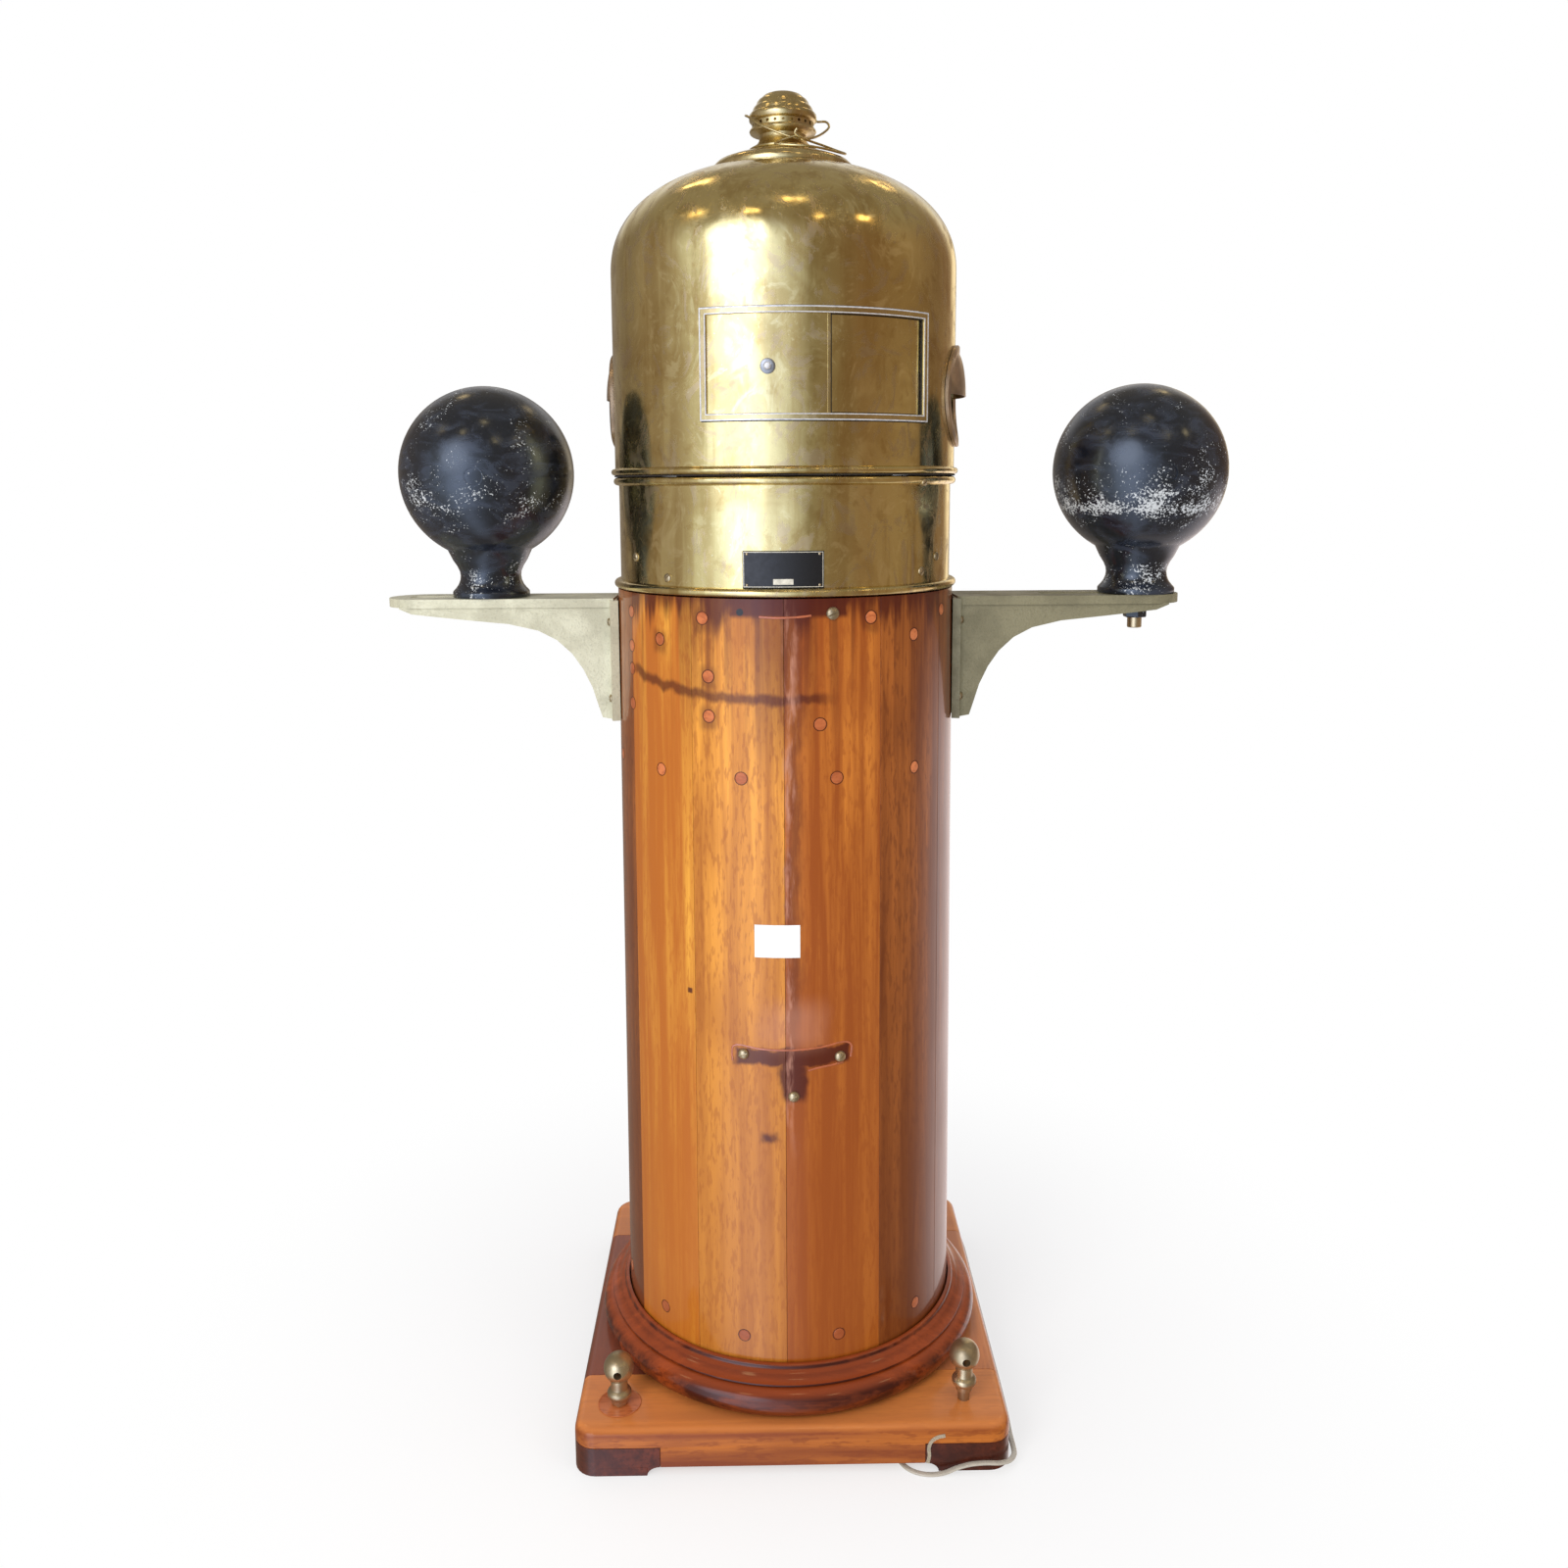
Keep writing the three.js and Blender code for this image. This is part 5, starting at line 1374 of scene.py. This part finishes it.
def dome_profile(outer, rise):
    """Dome points from the flue out to the shoulder."""
    first = FLUE_RADIUS / outer
    shares = [first + (1 - first) * math.sin(math.radians(angle)) for angle in spread(0, 90, 40)]
    return [(outer * share, dome_height(outer * min(share, 1.0), outer, rise)) for share in shares]


def build_hood():
    """The skin with its bead and openings, then everything that is fixed to it."""
    inner = HOOD_RADIUS - HOOD_WALL
    bead = 3.2
    profile = [(inner, HOOD_BOTTOM), *arc(175.4, HOOD_BOTTOM + bead, bead, -90, 90, 12),
               (HOOD_RADIUS, HOOD_BOTTOM + 2 * bead + 0.6), *reversed(dome_profile(HOOD_RADIUS, DOME_RISE)),
               *dome_profile(inner, DOME_RISE - HOOD_WALL)]
    shell = lathe("hood_skin", profile, "polished_brass", "hood", replaces=["hood_shell"], sharp=30)
    inside, outside = THROUGH
    rear = (156, 204, REAR_WINDOW[2] + 10, REAR_WINDOW[3] - 10)
    tools = [
        grid_slab(spread(first, last, 24), [bottom, top], lambda _: inside, lambda _: outside)
        for first, last, bottom, top in (SHUTTER_WINDOW, rear)
    ]
    for azimuth in VENT_AZIMUTHS.values():
        tools.append(radial_drum(azimuth, VENT_HEIGHT, inside, outside, VENT_HOLE))
    carve(shell, *join_shapes(tools))
    dress(0.0, "felt", "hood_seat_felt")
    build_shutter()
    build_rear_window()
    for side, azimuth in VENT_AZIMUTHS.items():
        build_vent(side, azimuth)
    build_finial()


def curved_frame(name, first, last, bottom, top, bar, inner, outer, finish, body, **options):
    """A frame of flat bars bent round the hood, mitred at the corners."""
    span = math.degrees(bar / outer)
    points, faces = [], []
    columns = 40
    outside = spread(first, last, columns)
    inside = spread(first + span, last - span, columns)
    for radius in (inner, outer):
        for azimuths, low, high in ((outside, bottom, top), (inside, bottom + bar, top - bar)):
            points += [around(a, radius, low) for a in azimuths]
            points += [around(a, radius, high) for a in azimuths]

    def quad(*corners):
        """A face from (radius, loop, level, column) corners."""
        faces.append([((r * 2 + loop) * 2 + level) * columns + i for r, loop, level, i in corners])

    for side in (0, 1):
        for i in range(columns - 1):
            j = i + 1
            for level in (0, 1):
                quad((side, 0, level, i), (side, 0, level, j), (side, 1, level, j), (side, 1, level, i))
                quad((0, side, level, i), (0, side, level, j), (1, side, level, j), (1, side, level, i))
        for i in (0, columns - 1):
            quad((side, 0, 0, i), (side, 1, 0, i), (side, 1, 1, i), (side, 0, 1, i))
            quad((0, side, 0, i), (0, side, 1, i), (1, side, 1, i), (1, side, 0, i))
    return solid(name, points, faces, finish, body, **options)


def build_shutter():
    """The rails with pale lines painted along their edges as highlights and black lines painted as their
    shadow and the shade in the groove, and the leaf that slides in them.
    """
    skin = HOOD_SKIN
    rails = (SHUTTER_FROM, SHUTTER_TO, SHUTTER_BOTTOM, SHUTTER_TOP)
    curved_frame("shutter_rails", *rails, 6.4, skin, skin + 4, "trim_brass", "hood",
                 replaces=["shutter_frame"], bevel=0.8)
    outlines = [  # name, how far out, bar, lowest and highest radius over the skin, finish
        # pale lines painted as highlights on the rails' edges; black lines painted as the shadow round the
        # rails and the shade in the groove
        ("shutter_shadow", 0.9, 1.2, -0.4, 0.8, "nameplate_black"),
        ("shutter_edge_highlight", 0.1, 1.3, 3.6, 4.2, "bright_edge"),
        ("shutter_groove_shade", -6.0, 1.1, 0.2, 1.7, "nameplate_black"),
        ("shutter_inner_edge_highlight", -5.0, 1.0, 3.6, 4.2, "bright_edge"),
    ]
    for name, out, bar, low, high, finish in outlines:
        turn = math.degrees(out / skin)
        place = (SHUTTER_FROM - turn, SHUTTER_TO + turn, SHUTTER_BOTTOM - out, SHUTTER_TOP + out)
        curved_frame(name, *place, bar, skin + low, skin + high, finish, "hood")
    levels = (SHUTTER_BOTTOM + 3.8, SHUTTER_TOP - 3.8)
    edge = SHUTTER_DOOR_TO
    slab("shutter_leaf", (SHUTTER_DOOR_FROM, edge), levels, skin + 0.5, skin + 1.9, "polished_brass",
         "shutter", replaces=["shutter_door"], step=1.0, bevel=0.3)
    slab("shutter_leaf_lip", (edge - 0.9, edge), levels, skin + 1.8, skin + 2.6, "trim_brass",
         "shutter", step=0.5, bevel=0.2)
    # a thin black strip painted as the shade in the gap beside the leaf's edge
    slab("shutter_leaf_gap_shade", (edge, edge + 0.35), levels, skin + 0.5, skin + 2.0,
         "nameplate_black", "shutter", step=0.2)
    washer = [(0, -0.5), (7, -0.5), (7, 0.7), (6.4, 1.1), (3.6, 1.2), (0, 1.2)]
    knob = [(0, 0.5), (2.6, 0.5), (2.6, 2.6), (3.4, 3.2), (3.4, 5.4), (2.4, 6.6), (0, 7.0)]
    place = [(-5.7, skin + 1.9, 1072)]
    studs("shutter_washer", washer, place, "steel", "shutter", sides=36)
    studs("shutter_knob", knob, place, "bright_edge", "shutter", sides=32)


def build_rear_window():
    skin = HOOD_SKIN
    first, last, bottom, top = REAR_WINDOW
    curved_frame("rear_rails", *REAR_WINDOW, 10, skin, skin + 4, "trim_brass", "hood",
                 replaces=["rear_window_frame"], bevel=0.9)
    slab("rear_pane", (first + 2, last - 2), (bottom + 5.6, top - 5.6), skin + 0.4, skin + 2.0,
         "clear_glass", "hood", replaces=["rear_window_glass"])
    screws = [(azimuth, skin + 3.8, level) for azimuth in (first + 1.6, 180, last - 1.6)
              for level in (bottom + 5, top - 5)]
    slot_screws("rear_rail_screws", screws, "old_brass", 2.8, 1.4, 0.7, body="hood")


def build_vent(side, azimuth):
    """A round rim on the hood with a shell-shaped cowl over its upper half."""
    def on_hood(aside, up, proud):
        """A point this far round the hood, up it and out from it."""
        return around(azimuth + math.degrees(aside / HOOD_SKIN), HOOD_SKIN + proud, VENT_HEIGHT + up)

    rings = [(VENT_RADIUS - 7, 0.0), (VENT_RADIUS - 7, 3.2), (VENT_RADIUS - 6.2, 4.2),
             (VENT_RADIUS - 1.2, 4.2), (VENT_RADIUS, 3.2), (VENT_RADIUS, 0.0)]
    sides = 96
    turns = [math.tau * i / sides for i in range(sides)]
    points = [on_hood(radius * math.cos(turn), radius * math.sin(turn), proud)
              for radius, proud in rings for turn in turns]
    faces = wrapped_faces(len(rings), sides, joined=True)
    solid(f"vent_rim_{side}", points, faces, "vent_brass", "hood", replaces=[f"side_vent_{side}"], sharp=40)

    reach, rise, wall = VENT_RADIUS - 5.5, 10.6, 1.3
    points, faces = [], []
    rows, columns = 16, 40
    for shrink in (0.0, wall):
        for row in range(rows + 1):
            out = math.radians(90 * row / rows)
            for i in range(columns + 1):
                turn = math.pi * i / columns
                across = (reach - shrink) * math.cos(out)
                proud = 0.2 + (rise - shrink) * math.sin(out)
                points.append(on_hood(across * math.cos(turn), across * math.sin(turn), proud))
    wide = columns + 1
    layer = (rows + 1) * wide
    for row in range(rows):
        for i in range(columns):
            corner = row * wide + i
            faces.append([corner, corner + 1, corner + wide + 1, corner + wide])
            back = layer + corner
            faces.append([back, back + wide, back + wide + 1, back + 1])
        for i in (0, columns):
            corner = row * wide + i
            faces.append([corner, corner + wide, layer + corner + wide, layer + corner])
    for i in range(columns):
        faces.append([i, i + 1, layer + i + 1, layer + i])
    solid(f"vent_cowl_{side}", points, faces, "vent_brass", "hood", sharp=50)


def build_finial():
    low, high = extent("finial_flange")
    edge = high.x
    seat = [(r, dome_height(r) + 0.4) for r in (FLUE_RADIUS, 30, 50, 62, edge)]
    flange = [*seat, (edge + 0.1, low.z + 3.0), (edge - 0.8, low.z + 5.2), (66, 1284.6), (56, 1288.4),
              (47, 1291.2), (41, 1292.4), (36.6, 1293.4), (36, 1294.6), (34, 1295.5),
              (FLUE_RADIUS, 1295.6)]
    lathe("flange_plate", flange, "trim_brass", "hood", sides=112, replaces=["finial_flange"], sharp=40)
    knob = [(14, 1332), (14, 1295.8), (33.8, 1295.8), (34.5, 1296.5), (34.2, 1297.8), (31, 1299.6),
            (27, 1302), (24.6, 1305), (23.3, 1308.6), (23.8, 1311), (26, 1312.4), (30, 1313),
            (32.8, 1313.6), (33.5, 1315.2), (32.8, 1316.9), (31, 1318), (31, 1323.2), (32.6, 1324.2),
            (33.6, 1325.6), (33.8, 1328.2), (33.4, 1331), (32, 1332.6), (30.6, 1333.4), (30.2, 1334.6),
            (29.8, 1336.4), (28.6, 1338.4), (27.2, 1339.4), (26.6, 1340.6), (25.6, 1343.2),
            (23.8, 1345.4), (21.4, 1347), (20.4, 1348), (18.6, 1349.6), (14, 1351.4), (8, 1352.6),
            (0, 1353), (0, 1338)]
    body = lathe("knob_body", knob, "trim_brass", "hood", sides=96, replaces=["finial_knob"], sharp=50)
    holes = [radial_drum(azimuth, 1320.6, 24, 36, 1.5, 12) for azimuth in range(0, 360, 15)]
    carve(body, *join_shapes(holes))
    build_finial_wire()


def build_finial_wire():
    """A soft brass wire wound round the neck and left in loose loops."""
    ring = [(34, 8, 1328), (33, 20, 1330), (20, 33, 1333), (-4, 38, 1335), (-27, 27, 1335),
            (-36.5, 6, 1332.5), (-35, -14, 1327), (-23, -31, 1315), (-4, -40.5, 1305),
            (16, -40, 1299.5), (29, -33, 1302), (40, -20, 1310), (46, -7, 1319), (43, 3, 1326),
            (35, 7, 1327)]
    loop = [(19, -41, 1297.5), (14, -42, 1301.5), (4, -42.5, 1299.5), (-6, -44, 1295.5),
            (-8, -50, 1292.5), (5, -57, 1290), (24, -58, 1288.5), (43, -48, 1287.5), (57, -35, 1287.2),
            (61, -27, 1288.5), (53, -28, 1291), (39, -32, 1295), (26, -37, 1298), (17, -42.5, 1300),
            (11, -44, 1304), (13, -45, 1308)]
    for name, points in (("finial_ring_wire", ring), ("finial_loop_wire", loop)):
        path = curve_through([Vector(point) * MM for point in points], 8)
        sweep(name, path, round_section(0.00115, 12), "trim_brass", "hood", sharp=80)


# ---- Correcting gear ----

def build_correctors():
    brasses = ("magnet_frame", "fore_aft_tray", "athwart_tray", "heeling_tube", "heeling_bucket")
    dress(0.3, "old_brass", *brasses)
    dress(0.2, "steel", "fore_aft_screw", "athwart_screw")


FINISHES = make_finishes()
bpy.context.scene.view_settings.view_transform = "Standard"
build_camera()
build_lead()
build_room()
build_floor()
build_base()
build_column()
build_sphere_gear()
build_housing()
build_compass()
build_hood()
build_correctors()
